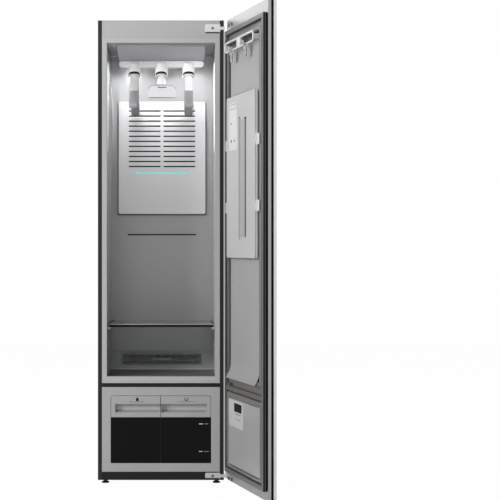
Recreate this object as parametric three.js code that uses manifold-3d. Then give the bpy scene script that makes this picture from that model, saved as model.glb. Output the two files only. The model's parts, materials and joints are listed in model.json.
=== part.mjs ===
// Drying cabinet: a tall garment-care cabinet with one hinged door, air hangers, a glass shelf,
// two water tanks and a heat-pump compartment. Millimetres, +Z up, +X to the right, -Y to the front.
// The origin is the centre of the base tray's underside.
import * as THREE from 'three';
import { mergeVertices } from 'three/addons/utils/BufferGeometryUtils.js';
import Module from 'manifold-3d';

const wasm = await Module();
wasm.setup();

// Casing
const width = 533;
const bodyHeight = 1944;
const bodyDepth = 560;
const sheet = 1.2;
const seat = 0.3; // gap between pieces that touch
const overrun = 6; // how far a cut runs past the faces that it opens
const flangeWidth = 17;
const flangeReturn = 10;
const rearFlange = 14;
const frontPlate = 3; // wall of the plates that make up the front
const frontReturn = 16; // depth of their folded or moulded edges
const lidRim = 14; // how far the top cover's rim drops inside the panels
const lidFold = 6; // height of its fold over the front

// Louvres and the lead's inlet in the rear cover
const louvreRows = 9;
const louvrePitch = 20;
const louvreStart = 110;
const louvreHeight = 5;
const louvreInner = 30;
const louvreOuter = 190;
const inletRadius = 11;
const inletBore = 5;
const inletDepth = 14;
const inletX = 205;
const inletZ = 62;

// Heights of the front, from the underside up
const plinthTop = 34.7;
const fasciaTop = 393;
const railTop = 410;
const cavityBottom = 438;
const headerHeight = 87;
const headerBottom = bodyHeight - headerHeight;
const mouthBand = 8; // bezel above the cavity's mouth
const cavityTop = headerBottom - mouthBand;

// Drying cavity
const openingMargin = 37.5; // from the casing's side to the cavity's mouth
const openingHalf = width / 2 - openingMargin;
const cavityDepth = 410;
const linerWall = 2.5;
const linerStep = 1; // the liner stands this far behind the bezel's lip
const bezelLip = 20;

// Feet and base tray
const baseSheet = 2;
const baseRim = 28;
const footHeight = 16;
const footRadius = 16;
const footWaist = 9;
const footCollar = 4;
const footNeck = 3; // bare stem between the foot and the tray
const stemRadius = 5;
const stemLength = 24;
const bossWall = 5;
const bossHeight = 14;
const footInsetX = 30.5;
const footInsetY = 34;

// Ceiling, hanger bar and sockets
const ductMargin = 41; // from the mouth's side to the duct
const ductHalf = openingHalf - ductMargin;
const ductStart = 27;
const ductChin = 12;
const ductDrop = 49;
const ductSlopeEnd = 186;
const ductFlatEnd = 250;
const ductEnd = 330;
const barMargin = 44;
const barHalf = openingHalf - barMargin;
const barHeight = 28.5;
const barDepth = 44;
const barFront = 188;
const barCorner = 12;
const barEdge = 3;
const socketMargin = 66; // from the bar's end to the outer sockets
const socketPitch = barHalf - socketMargin;
const socketRadius = 28;
const socketCentre = 206; // behind the front plane
const socketRise = 18; // how far a socket laps up over the bar's face
const socketDrop = 41; // and how far it hangs below the bar
const mouthHalf = 23;
const mouthHeight = 16;
const lipHalf = 16;
const lipHeight = 5;

// Air hangers
const hangerThick = 38;
const hangerReach = 164;
const hangerFall = 118;
const armHeight = 26;
const neckDrop = 35;
const neckHalf = 21;
const hangerEdge = 6;
const domeSteps = 4; // facets over the head, from its rim to its crown
const nozzleDrop = 33; // the centre hanger is a bare nozzle: its length below the socket
const nozzleRadius = 21;
const nozzleWall = 2;

// Vent cover, light bar and scent drawer on the rear wall
const ventMargin = 32;
const ventHalf = openingHalf - ventMargin;
const ventDrop = 206; // from the cavity's top to the cover
const ventHeight = 509;
const ventTop = cavityTop - ventDrop;
const ventBottom = ventTop - ventHeight;
const ventCorner = 9;
const ventPlate = 9;
const ventStandOff = 8;
const ventPegRadius = 7;
const ventEdge = 2;
const slotCount = 12;
const slotPitch = 22.8;
const slotDrop = 43; // from the cover's top to the first slot
const slotTop = ventTop - slotDrop;
const slotHeight = 6;
const slotInner = 7;
const slotMargin = 47;
const slotOuter = ventHalf - slotMargin;
const ledHalf = 119;
const ledHeight = 6;
const ledDrop = 323;
const ledCentre = ventTop - ledDrop;
const ledDeep = 3;
const scentHalf = 62;
const scentDrop = 132;
const scentTop = cavityTop - scentDrop;
const scentHeight = 56;
const scentCorner = 20;
const scentFront = 4;
const scentSlotHalf = 20;
const scentSlotHeight = 5;
const scentSlotDown = 8;
const scentTrayHalf = 50;
const scentTrayDrop = 14;
const scentTrayHeight = 40;
const scentTrayDepth = 52;
const trayWall = 1.8;
const ledgeHalf = 153;
const ledgeHeight = 8;
const ledgeDepth = 9;
const ledgeDrop = 800;
const ledgeCentre = cavityTop - ledgeDrop;

// Shelf
const shelfPlay = 5;
const shelfHalf = openingHalf - shelfPlay;
const shelfTop = 658;
const shelfGlass = 6;
const shelfTrimHeight = 12;
const shelfTrimDepth = 9;
const shelfFront = 42;
const shelfBack = 392;
const bracketWidth = 12;
const bracketHeight = 17;
const bracketLip = 3;
const bracketStart = 60;

// Air intake and its filter at the foot of the rear wall
const intakeTop = 517;
const intakeReach = 92;
const intakeToe = 7;
const filterMargin = 42;
const filterHalf = openingHalf - filterMargin;
const filterThick = 12;
const filterInset = 14; // from the intake's upper and lower edges, along the slope
const filterGap = 0.5;
const filterFrame = 10;
const filterRibs = 9;
const filterRib = 3;
const filterPlate = 3;
const gripHalf = 42;
const gripHeight = 12;
const gripRise = 4;
const throatMargin = 79;
const throatHalf = openingHalf - throatMargin;
const throatDeep = 36;

// Water tanks and their bay
const tankMargin = 54; // from the casing's side to the tanks
const tankHalf = width / 2 - tankMargin;
const tankBottom = 71;
const tankSplit = 265.6;
const tankTop = 357.4;
const tankDepth = 200;
const tankWall = 2.5;
const tankGap = 1;
const tankCorner = 12;
const handleDepth = 34;
const lidPlate = 3;
const recessOuter = 19; // from the tank's outer side to the finger recess
const recessBottom = 285;
const recessTop = 321.5;
const recessDepth = 26;
const recessCorner = 4;
const fillRadius = 21;
const bayWall = 2;

// Hinges: the axis stands outside the right side, in front of the front plane
const pivotOut = 11.5;
const pivotAhead = 19;
const hingeHalf = 32;
const hingePlate = 3.6;
const hingeHeight = 35;
const hingeFootHeight = 26; // the lower plate is shorter, to stay on the plinth
const hingeEdge = 15.5; // from the casing's side to the plate
const hingeDrop = 33.5;
const hingeTopCentre = bodyHeight - hingeDrop;
const hingeBottomCentre = 18;
const armThick = 11;
const pinRadius = 3.2;
const knuckleRadius = 7.2;
const knuckleHeight = 13;
const pinPlay = 0.3;
const strapReach = 52;
const strapThick = 2.2;

// Door
const doorBottom = 8;
const doorShort = 4; // the door stops this far below the casing's top
const doorTop = bodyHeight - doorShort;
const doorGap = 18; // between the cabinet's front and the door's inner face
const doorFrameThick = 12.5;
const doorGroove = 9;
const doorPanelThick = 13;
const doorGrooveInset = 5;
const doorFrameRing = 62;
const panelSheet = 1.3;
const panelRim = 2.3;
const panelReturn = 16;
const panelCorner = 4;
const panelEdge = 1;
const frameCorner = 2;
const gasketWidth = 19;
const gasketMargin = 33; // from the door's side to the gasket's inner edge
const gasketInner = width / 2 - gasketMargin;
const gasketOuter = gasketInner + gasketWidth;
const gasketDrop = 52;
const gasketTop = doorTop - gasketDrop;
const gasketBottom = 46;
const gasketCorner = 4;
const gasketEdge = 1.5;
const rimMargin = 10.5; // from the gasket to the rims
const rimHalf = gasketInner - rimMargin;
const rimHeight = 18;
const rimWidth = 16;
const rimClear = 6; // between the upper rim and the cavity's mouth
const lowerRimHeight = 16;
const lowerRimTop = 385;
const lowerPanelTop = 362;
const lowerPanelBottom = 69;
const linerPlate = 2;
const rimDraft = 3;
const rimCorner = 10;
const doorOpen = 105; // degrees, the door's angle at rest

// Press plate and press board on the door
const pressMargin = 37; // from the rim to the press plate
const pressHalf = rimHalf - pressMargin;
const pressBottom = 446;
const pressDrop = 57; // from the cavity's top to the plate
const pressTop = cavityTop - pressDrop;
const pressPlate = 4;
const pressStandOff = 3;
const flareHeight = 64;
const flareOut = 22;
const boardDrop = 249;
const boardHeight = 659;
const boardTop = cavityTop - boardDrop;
const boardBottom = boardTop - boardHeight;
const boardThick = 11;
const boardGap = 8;
const boardCorner = 10;
const boardEdge = 2.5;
const grooveStart = 90; // from the board's top to the groove
const grooveLength = 496;
const grooveTop = boardTop - grooveStart;
const grooveBottom = grooveTop - grooveLength;
const grooveHalf = 13;
const grooveDeep = 9;
const grooveOffset = 8;
const boardPin = 3;
const tabHeight = 52;
const tabDrop = 193;
const tabPitch = 261;
const tabHigh = boardTop - tabDrop;
const tabLow = tabHigh - tabPitch;
const tabThick = 6;
const tabReach = 9;
const spoutWidth = 20;
const spoutHeight = 13;

// Trouser hanger and clips on the door
const loopDrop = 19;
const loopTop = cavityTop - loopDrop;
const loopHeight = 45;
const loopBottom = loopTop - loopHeight;
const loopHalf = pressHalf;
const loopBar = 7;
const loopEdge = 1.5;
const loopCorner = 14;
const loopPlate = 3;
const loopStand = 27; // from the liner to the back of the loop
const loopBlockHalf = 24;
const clipOffset = loopHalf / 2;
const clipHalf = 11;
const clipHeight = 44;
const clipThick = 3;
const clipPin = 2.4;
const clipEar = 3;

// Machine compartment
const compressorRadius = 62;
const compressorHeight = 165;
const compressorMargin = 101.5; // from the casing's side to its axis
const compressorX = compressorMargin - width / 2;
const compressorDeep = 455;
const compressorFoot = 5;
const boilerRadius = 42;
const boilerLength = 150;
const boilerX = compressorX;
const boilerDeep = 300;
const boilerFoot = 12;
const coilHalf = 78;
const coilX = 5;
const coilBottom = 60;
const coilHeight = 180;
const coilDepth = 42;
const coilFront = 236;
const coilGap = 16;
const finCount = 10;
const finThick = 2.4;
const coilPlate = 4;
const pumpRadius = 21;
const pumpHeight = 46;
const pumpMargin = 76.5;
const pumpX = width / 2 - pumpMargin;
const pumpDeep = 262;
const boardTall = 120;
const boardCase = 34;
const boardCaseGap = 20; // from the coils to the control box
const boardCaseMargin = 13.5; // from the casing's side to it
const boardCaseDeep = 300;
const boardCaseBottom = 200;
const boardFins = 5; // cooling fins on the control box
const fanRadius = 66;
const fanX = 10;
const fanCentreZ = 196;
const fanFront = 430;
const fanDepth = 62;
const fanWall = 2;
const scrollGrowth = 26;
const scrollStart = 40; // degrees, where the scroll begins
const scrollTurn = 320; // degrees, how far it winds
const scrollSteps = 24;
const bladeCount = 18;
const bladeThick = 2;
const fanHub = 16;
const fanShaft = 5;
const mouthRadius = 44;
const motorRadius = 34;
const motorLength = 30;
const rearDuctMargin = 109; // rear duct, from the mouth's side
const ductWide = openingHalf - rearDuctMargin;
const ductDepth = 46;
const ductWall = 2;
const ductShort = 11; // the rear duct ends this far below the vent cover's top
const ductTop = ventTop - ductShort;

// Planes that several pieces share
const half = width / 2;
const front = -bodyDepth / 2;
const back = bodyDepth / 2;
const deep = (distance) => front + distance; // a place behind the front plane
const frontHalf = half - flangeWidth - seat; // between the two dark flanges
const insideHalf = half - sheet - seat; // between the two side panels
const linerHalf = openingHalf + linerStep;
const backWall = deep(cavityDepth);

// Paint, metal and plastic of the pieces
const finish = (color, roughness, metalness = 0) =>
  new THREE.MeshStandardMaterial({ color, roughness, metalness });
const darkSteel = finish('#3b3c3e', 0.5, 0.3);
const paleGrey = finish('#adadad', 0.45, 0.1);
const liningGrey = finish('#8d8d8e', 0.4, 0.2);
const white = finish('#ececec', 0.35);
const offWhite = finish('#d9d9d9', 0.4);
const warmGrey = finish('#7d7b77', 0.5);
const black = finish('#17181a', 0.25);
const rubber = finish('#1c1c1d', 0.8);
const steel = finish('#c9cacc', 0.3, 0.9);
const bareMetal = finish('#a8abae', 0.45, 0.8);
const copper = finish('#b0714a', 0.35, 0.9);
const smoke = finish('#202225', 0.1);
const glass = finish('#3a4046', 0.05);
const cyan = finish('#58dbe2', 0.3);
const green = finish('#2c5b3c', 0.6);

const middle = (a, b) => (a + b) / 2;
const count = (n) => Array.from({ length: n }, (_, i) => i);

// A block between two corners, given as its ranges along X, Y and Z
function block([x0, x1], [y0, y1], [z0, z1]) {
  const shape = new THREE.BoxGeometry(x1 - x0, y1 - y0, z1 - z0);
  return shape.translate(middle(x0, x1), middle(y0, y1), middle(z0, z1));
}

// An outline drawn in two of the axes and drawn out along the third, between two places
const axesOf = {
  XY: [[1, 0, 0], [0, 1, 0], [0, 0, 1]],
  YZ: [[0, 1, 0], [0, 0, 1], [1, 0, 0]],
  XZ: [[1, 0, 0], [0, 0, 1], [0, -1, 0]],
};
function drawn(outline, plane, from, to, { edge = 0, edgeSteps = 2, curve = 5 } = {}) {
  const [across, up, along] = axesOf[plane].map((axis) => new THREE.Vector3(...axis));
  const shape = new THREE.ExtrudeGeometry(outline, {
    depth: Math.abs(to - from) - edge - edge,
    curveSegments: curve,
    bevelEnabled: edge > 0,
    bevelSize: edge,
    bevelThickness: edge,
    bevelOffset: -edge,
    bevelSegments: edgeSteps,
  });
  const start = plane === 'XZ' ? -Math.max(from, to) : Math.min(from, to);
  shape.translate(0, 0, start + edge);
  return shape.applyMatrix4(new THREE.Matrix4().makeBasis(across, up, along));
}

// Closed outlines: straight ones from their corners, and a rectangle with its corners rounded
function corners(...points) {
  return new THREE.Shape(points.map(([a, b]) => new THREE.Vector2(a, b)));
}
function rounded([a0, a1], [b0, b1], radii) {
  const [r0, r1, r2, r3] = Array.isArray(radii) ? radii : [radii, radii, radii, radii];
  const shape = new THREE.Shape();
  shape.moveTo(a0 + r0, b0).lineTo(a1 - r1, b0);
  if (r1) shape.absarc(a1 - r1, b0 + r1, r1, -Math.PI / 2, 0);
  shape.lineTo(a1, b1 - r2);
  if (r2) shape.absarc(a1 - r2, b1 - r2, r2, 0, Math.PI / 2);
  shape.lineTo(a0 + r3, b1);
  if (r3) shape.absarc(a0 + r3, b1 - r3, r3, Math.PI / 2, Math.PI);
  shape.lineTo(a0, b0 + r0);
  if (r0) shape.absarc(a0 + r0, b0 + r0, r0, Math.PI, Math.PI * 1.5);
  return shape;
}

// A turned piece, from its profile of [radius, place along the axis], placed and pointed
function turned(profile, [x, y, z], axis = 'Z', sides = 20) {
  const shape = new THREE.LatheGeometry(profile.map(([r, t]) => new THREE.Vector2(r, t)), sides);
  if (axis === 'Z') shape.rotateX(Math.PI / 2);
  if (axis === 'X') shape.rotateZ(-Math.PI / 2);
  return shape.translate(x, y, z);
}
const rod = (radius, length, at, axis, sides) =>
  turned([[0, 0], [radius, 0], [radius, length], [0, length]], at, axis, sides);

// Joining and cutting
function solid(shape) {
  if (!shape.isBufferGeometry) return shape;
  const bare = shape.clone();
  bare.deleteAttribute('normal');
  bare.deleteAttribute('uv');
  const merged = mergeVertices(bare);
  return new wasm.Manifold(new wasm.Mesh({
    numProp: 3,
    vertProperties: merged.attributes.position.array,
    triVerts: new Uint32Array(merged.index.array),
  }));
}
const join = (first, ...others) => others.reduce((a, b) => a.add(solid(b)), solid(first));
const cut = (first, ...others) => others.reduce((a, b) => a.subtract(solid(b)), solid(first));
function geometryOf(shape) {
  if (shape.isBufferGeometry) return shape;
  const { numProp, vertProperties, triVerts } = shape.getMesh();
  const places = new Float32Array((vertProperties.length / numProp) * 3);
  for (let i = 0; i < places.length; i += 1) {
    places[i] = vertProperties[Math.floor(i / 3) * numProp + (i % 3)];
  }
  const made = new THREE.BufferGeometry();
  made.setAttribute('position', new THREE.BufferAttribute(places, 3));
  made.setIndex(Array.from(triVerts));
  made.computeVertexNormals();
  return made;
}

const cabinet = new THREE.Group();
function piece(name, shape, material, group = cabinet) {
  const mesh = new THREE.Mesh(geometryOf(shape), material);
  mesh.name = name;
  group.add(mesh);
}

// Side panels: one folded sheet each, with a broad front flange that shows beside the door opening
const casingTop = bodyHeight - sheet - seat;
for (const [name, side] of [['left', -1], ['right', 1]]) {
  const fold = [
    [0, 0], [flangeWidth, 0], [flangeWidth, flangeReturn], [flangeWidth - sheet, flangeReturn],
    [flangeWidth - sheet, sheet], [sheet, sheet], [sheet, bodyDepth - sheet],
    [rearFlange, bodyDepth - sheet], [rearFlange, bodyDepth], [0, bodyDepth],
  ].map(([inward, behind]) => [side * (half - inward), deep(behind)]);
  if (side > 0) fold.reverse();
  piece(`side_panel_${name}`, drawn(corners(...fold), 'XY', 0, casingTop), darkSteel);
}

// Top cover: a lid that lies on the panels, folded over the front, with a rim that drops inside them
const lidFront = deep(flangeReturn + seat);
const lidBack = back - sheet - seat;
piece('top_cover', join(
  block([-half, half], [front, back], [bodyHeight - sheet, bodyHeight]),
  block([-frontHalf, frontHalf], [front, deep(sheet)], [bodyHeight - lidFold, bodyHeight]),
  cut(
    block([-insideHalf, insideHalf], [lidFront, lidBack], [bodyHeight - lidRim, bodyHeight - sheet / 2]),
    block([sheet - insideHalf, insideHalf - sheet], [lidFront + sheet, lidBack - sheet],
      [bodyHeight - lidRim - overrun, bodyHeight]),
  ),
), darkSteel);

// Channels across the front: a face plate with an upper and a lower return
function channel(bottom, top, wall, depth) {
  return cut(
    block([-frontHalf, frontHalf], [front, deep(depth)], [bottom, top]),
    block([-frontHalf - overrun, frontHalf + overrun], [deep(wall), deep(depth + overrun)],
      [bottom + wall, top - wall]),
  );
}
piece('header_panel', channel(headerBottom, bodyHeight - lidFold - seat, frontPlate, flangeReturn), paleGrey);
piece('cross_rail', channel(fasciaTop + seat, railTop - seat, baseSheet, frontReturn), darkSteel);
piece('plinth', channel(0, plinthTop, baseSheet, frontReturn), darkSteel);

// Base tray: folded up all round, with a boss for the stem of each levelling foot
const trayFront = deep(frontReturn + seat);
const trayBack = back - sheet - sheet - seat - seat;
const footPlaces = [
  ['front_left', -half + footInsetX, deep(footInsetY)],
  ['front_right', half - footInsetX, deep(footInsetY)],
  ['rear_left', -half + footInsetX, back - footInsetY],
  ['rear_right', half - footInsetX, back - footInsetY],
];
const boreRadius = stemRadius + seat;
let tray = cut(
  block([-insideHalf, insideHalf], [trayFront, trayBack], [0, baseRim]),
  block([baseSheet - insideHalf, insideHalf - baseSheet],
    [trayFront + baseSheet, trayBack - baseSheet], [baseSheet, baseRim + overrun]),
);
for (const [, x, y] of footPlaces) {
  tray = join(tray, rod(boreRadius + bossWall, bossHeight, [x, y, 0], 'Z', 16));
}
for (const [, x, y] of footPlaces) {
  tray = cut(tray, rod(boreRadius, bossHeight + overrun + overrun, [x, y, -overrun], 'Z', 16));
}
piece('base_tray', tray, darkSteel);
for (const [name, x, y] of footPlaces) {
  piece(`foot_${name}`, turned([
    [0, -footHeight], [footRadius, -footHeight], [footRadius, -footHeight + footCollar],
    [footWaist, -footCollar - footCollar], [footWaist, -footNeck], [stemRadius, -footNeck],
    [stemRadius, stemLength], [0, stemLength],
  ], [x, y, 0], 'Z', 16), rubber);
}

// Rear cover: one sheet inside the rear flanges, louvred low down, with the lead's inlet
const coverFront = back - sheet - sheet - seat;
const coverBack = back - sheet - seat;
let cover = join(
  block([-insideHalf, insideHalf], [coverFront, coverBack], [0, casingTop - lidRim]),
  rod(inletRadius, inletDepth, [inletX, coverBack - inletDepth, inletZ], 'Y', 14),
);
for (const row of count(louvreRows)) {
  const z = louvreStart + row * louvrePitch;
  for (const side of [-1, 1]) {
    const reach = [side * louvreInner, side * louvreOuter].sort((a, b) => a - b);
    cover = cut(cover, block(reach, [coverFront - overrun, coverBack + overrun], [z, z + louvreHeight]));
  }
}
cover = cut(cover, rod(inletBore, inletDepth + overrun + overrun,
  [inletX, coverBack - inletDepth - overrun, inletZ], 'Y', 10));
piece('rear_cover', cover, bareMetal);

// Front bezel: the light frame round the cavity's mouth, with a lip that turns inwards
piece('front_bezel', cut(
  join(
    block([-frontHalf, frontHalf], [front, deep(frontPlate)], [railTop, headerBottom - seat]),
    block([-openingHalf - frontPlate, openingHalf + frontPlate], [front, deep(bezelLip)],
      [cavityBottom - frontPlate, cavityTop + frontPlate]),
  ),
  drawn(rounded([-openingHalf, openingHalf], [cavityBottom, cavityTop], linerWall),
    'XZ', front - overrun, deep(bezelLip + overrun), { curve: 2 }),
), paleGrey);

// Cavity liner: floor, and one sheet bent round the two sides and the rear wall
const linerStart = deep(bezelLip + seat);
const linerFloor = cavityBottom - linerStep;
const linerTop = cavityTop + linerStep;
const throatFront = backWall - throatDeep - intakeToe;
piece('liner_floor', cut(
  block([-linerHalf - linerWall, linerHalf + linerWall], [linerStart, backWall + linerWall],
    [linerFloor - linerWall, linerFloor]),
  block([-throatHalf, throatHalf], [throatFront, backWall - intakeToe],
    [linerFloor - linerWall - overrun, linerFloor + overrun]),
), liningGrey);
const wrapInner = linerHalf;
const wrapOuter = linerHalf + linerWall;
const wrap = corners(
  [-wrapOuter, linerStart], [-wrapInner, linerStart], [-wrapInner, backWall],
  [wrapInner, backWall], [wrapInner, linerStart], [wrapOuter, linerStart],
  [wrapOuter, backWall + linerWall], [-wrapOuter, backWall + linerWall],
);
const ductMouthHalf = ductWide - ductWall - ductWall;
const ductMouthBottom = slotTop - (slotCount - 1) * slotPitch - slotPitch;
const scentTray = {
  x: [-scentTrayHalf, scentTrayHalf],
  z: [scentTop - scentTrayDrop - scentTrayHeight, scentTop - scentTrayDrop],
};
piece('liner_wrap', cut(
  join(
    drawn(wrap, 'XY', linerFloor + seat, linerTop - seat),
    block([-ledgeHalf, ledgeHalf], [backWall - ledgeDepth, backWall + linerWall / 2],
      [ledgeCentre - ledgeHeight / 2, ledgeCentre + ledgeHeight / 2]),
  ),
  block([-ductMouthHalf, ductMouthHalf], [backWall - overrun, backWall + linerWall + overrun],
    [ductMouthBottom, slotTop + slotPitch / 2]),
  block([scentTray.x[0] - seat, scentTray.x[1] + seat],
    [backWall - overrun, backWall + linerWall + overrun],
    [scentTray.z[0] - seat, scentTray.z[1] + seat]),
), liningGrey);

// Ceiling: a plate with the moulded air duct that slopes down to the hanger bar
const ductBottom = cavityTop - ductDrop;
piece('ceiling_panel', join(
  block([-wrapOuter, wrapOuter], [linerStart, backWall + linerWall], [linerTop, linerTop + linerWall]),
  drawn(corners(
    [deep(ductStart), linerTop + linerWall / 2], [deep(ductStart), cavityTop - ductChin],
    [deep(ductSlopeEnd), ductBottom], [deep(ductFlatEnd), ductBottom],
    [deep(ductEnd), cavityTop - ductChin], [deep(ductEnd), linerTop + linerWall / 2],
  ), 'YZ', -ductHalf, ductHalf),
), offWhite);

// Hanger bar: a rounded bar across the duct's foot, which each socket laps over
const barTop = ductBottom - seat;
const barBottom = barTop - barHeight;
const socketNames = ['left', 'centre', 'right'];
const socketPlaces = socketNames.map((name, i) => [name, (i - 1) * socketPitch]);
const socketTop = barBottom + socketRise;
const socketBottom = barBottom - socketDrop;
const socketY = deep(socketCentre);
piece('hanger_bar', drawn(rounded([-barHalf, barHalf], [barBottom, barTop], barCorner),
  'XZ', deep(barFront), deep(barFront + barDepth), { edge: barEdge, edgeSteps: 1 }), white);

// Sockets: each takes the head of a hanger in a slot that opens to the front
const mouthTop = socketBottom + mouthHeight;
const lipTop = socketBottom + lipHeight;
for (const [name, x] of socketPlaces) {
  const cup = turned([
    [0, socketBottom], [socketRadius - seat, socketBottom], [socketRadius, lipTop],
    [socketRadius, socketTop - lipHeight / 2], [socketRadius - lipHeight / 2, socketTop], [0, socketTop],
  ], [x, socketY, 0], 'Z', 28);
  const arch = new THREE.Shape();
  arch.moveTo(x - mouthHalf, lipTop).lineTo(x + mouthHalf, lipTop).lineTo(x + mouthHalf, lipTop + lipHeight);
  arch.absellipse(x, lipTop + lipHeight, mouthHalf, mouthTop - lipTop - lipHeight, 0, Math.PI);
  piece(`hanger_socket_${name}`, cut(
    cup,
    block([x - socketRadius - overrun, x + socketRadius + overrun],
      [deep(barFront) - seat, deep(barFront + barDepth) + overrun], [barBottom - seat, socketTop + overrun]),
    drawn(arch, 'XZ', deep(barFront - socketRadius), socketY, { curve: 6 }),
    drawn(new THREE.Shape().absarc(x, socketY, mouthHalf, 0, Math.PI * 2), 'XY',
      lipTop, mouthTop, { curve: 10 }),
    block([x - lipHalf, x + lipHalf], [deep(barFront - socketRadius), socketY],
      [socketBottom - overrun, lipTop + overrun]),
    drawn(new THREE.Shape().absarc(x, socketY, lipHalf, 0, Math.PI * 2), 'XY',
      socketBottom - overrun, lipTop + overrun, { curve: 10 }),
  ), white);
}

// Air hangers: two with shoulders, seen end on, and a bare nozzle between them; each hangs by a
// domed head in its socket's slot
const headTop = mouthTop - seat - linerStep;
const headBottom = lipTop + seat;
const shoulderTop = socketBottom - seat - seat;
const neckFoot = socketBottom - neckDrop;
const domeFoot = lipTop + lipHeight - seat - seat;
const headRadius = mouthHalf - seat - seat;
const neckRadius = lipHalf - seat - seat;
const nozzleFoot = socketBottom - nozzleDrop;
const dome = count(domeSteps + 1).map((i) => (i * Math.PI) / domeSteps / 2)
  .map((a) => [headRadius * Math.cos(a), domeFoot + (headTop - domeFoot) * Math.sin(a)]);
dome[dome.length - 1][0] = 0;
for (const [name, x] of socketPlaces) {
  const tip = neckFoot - hangerFall;
  const shoulders = new THREE.Shape();
  shoulders.moveTo(socketY - neckHalf, shoulderTop);
  shoulders.quadraticCurveTo(socketY - neckHalf, neckFoot, socketY - hangerReach, tip + armHeight);
  shoulders.quadraticCurveTo(socketY - hangerReach - armHeight / 2, tip + armHeight / 4,
    socketY - hangerReach + armHeight / 4, tip);
  shoulders.quadraticCurveTo(socketY, neckFoot - armHeight / 2, socketY + hangerReach - armHeight / 4, tip);
  shoulders.quadraticCurveTo(socketY + hangerReach + armHeight / 2, tip + armHeight / 4,
    socketY + hangerReach, tip + armHeight);
  shoulders.quadraticCurveTo(socketY + neckHalf, neckFoot, socketY + neckHalf, shoulderTop);
  const arms = drawn(shoulders, 'YZ', x - hangerThick / 2, x + hangerThick / 2, { edge: hangerEdge });
  const nozzle = turned([
    [0, shoulderTop - overrun], [neckRadius - nozzleWall, shoulderTop - overrun],
    [nozzleRadius - nozzleWall, nozzleFoot], [nozzleRadius, nozzleFoot],
    [neckRadius, shoulderTop], [0, shoulderTop],
  ], [x, socketY, 0], 'Z', 24);
  piece(`air_hanger_${name}`, join(
    name === 'centre' ? nozzle : arms,
    rod(neckRadius, domeFoot - shoulderTop + nozzleWall, [x, socketY, shoulderTop - nozzleWall], 'Z', 24),
    turned([[0, headBottom], [headRadius, headBottom], ...dome], [x, socketY, 0], 'Z', 24),
  ), white);
}

// Vent cover: a plate on pegs before the rear wall, with two columns of air slots and a light bar
const ventBack = backWall - ventStandOff;
const ventFront = ventBack - ventPlate;
const pegIn = ventPegRadius + ventCorner;
let vent = drawn(rounded([-ventHalf, ventHalf], [ventBottom, ventTop], ventCorner),
  'XZ', ventFront, ventBack, { edge: ventEdge, edgeSteps: 1, curve: 3 });
for (const x of [pegIn - ventHalf, ventHalf - pegIn]) {
  for (const z of [ventBottom + pegIn, ventTop - pegIn]) {
    vent = join(vent, rod(ventPegRadius, ventStandOff + ventPlate / 2 - seat,
      [x, ventBack - ventPlate / 2, z], 'Y', 10));
  }
}
for (const row of count(slotCount)) {
  const z = slotTop - row * slotPitch;
  for (const reach of [[-slotOuter, -slotInner], [slotInner, slotOuter]]) {
    vent = cut(vent, block(reach, [ventFront - overrun, ventBack + overrun],
      [z - slotHeight / 2, z + slotHeight / 2]));
  }
}
const ledSpan = [ledCentre - ledHeight / 2, ledCentre + ledHeight / 2];
piece('vent_cover', cut(vent, block([-ledHalf - seat, ledHalf + seat],
  [ventFront - overrun, ventFront + ledDeep + seat], [ledSpan[0] - seat, ledSpan[1] + seat])), offWhite);
piece('light_bar', block([-ledHalf, ledHalf], [ventFront, ventFront + ledDeep], ledSpan), cyan);

// Scent drawer: a rounded front with a finger slot, and a small open tray behind it
const scentFace = backWall - seat - scentFront;
const scentFoot = scentTop - scentHeight;
const trayBackEnd = backWall + scentTrayDepth;
const slotCentreZ = scentTop - scentSlotDown;
piece('scent_drawer', cut(
  join(
    drawn(rounded([-scentHalf, scentHalf], [scentFoot, scentTop], [0, 0, scentCorner, scentCorner]),
      'XZ', scentFace, backWall - seat, { curve: 5 }),
    block(scentTray.x, [backWall - scentFront / 2, trayBackEnd], scentTray.z),
  ),
  block([scentTray.x[0] + trayWall, scentTray.x[1] - trayWall],
    [backWall + trayWall, trayBackEnd - trayWall], [scentTray.z[0] + trayWall, scentTop]),
  block([-scentSlotHalf, scentSlotHalf], [scentFace - overrun, scentFace + scentFront / 2],
    [slotCentreZ - scentSlotHeight / 2, slotCentreZ + scentSlotHeight / 2]),
), offWhite);

// Shelf: a sheet of dark glass in a bright front strip, on a rail along each side wall
const glassTop = shelfTop - bracketLip;
const glassFoot = glassTop - shelfGlass;
const stripFoot = shelfTop - shelfTrimHeight;
const stripBack = deep(shelfFront + shelfTrimDepth);
const glassStart = stripBack - shelfGlass;
piece('shelf_glass',
  block([-shelfHalf, shelfHalf], [glassStart, deep(shelfBack)], [glassFoot, glassTop]), glass);
piece('shelf_strip', drawn(corners(
  [deep(shelfFront), stripFoot], [stripBack, stripFoot], [stripBack, glassFoot - seat],
  [glassStart - seat, glassFoot - seat], [glassStart - seat, glassTop + seat],
  [stripBack, glassTop + seat], [stripBack, shelfTop], [deep(shelfFront), shelfTop],
), 'YZ', -shelfHalf, shelfHalf), steel);
const railTopZ = glassFoot - seat;
for (const [name, side] of [['left', -1], ['right', 1]]) {
  const reach = [side * (linerHalf - seat), side * (linerHalf - seat - bracketWidth)].sort((a, b) => a - b);
  piece(`shelf_bracket_${name}`, drawn(corners(
    [deep(bracketStart), railTopZ], [deep(bracketStart), railTopZ - bracketLip],
    [deep(bracketStart + bracketHeight), railTopZ - bracketHeight],
    [deep(shelfBack - bracketHeight), railTopZ - bracketHeight], [deep(shelfBack), railTopZ - bracketLip],
    [deep(shelfBack), railTopZ],
  ), 'YZ', reach[0], reach[1]), offWhite);
}

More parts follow.
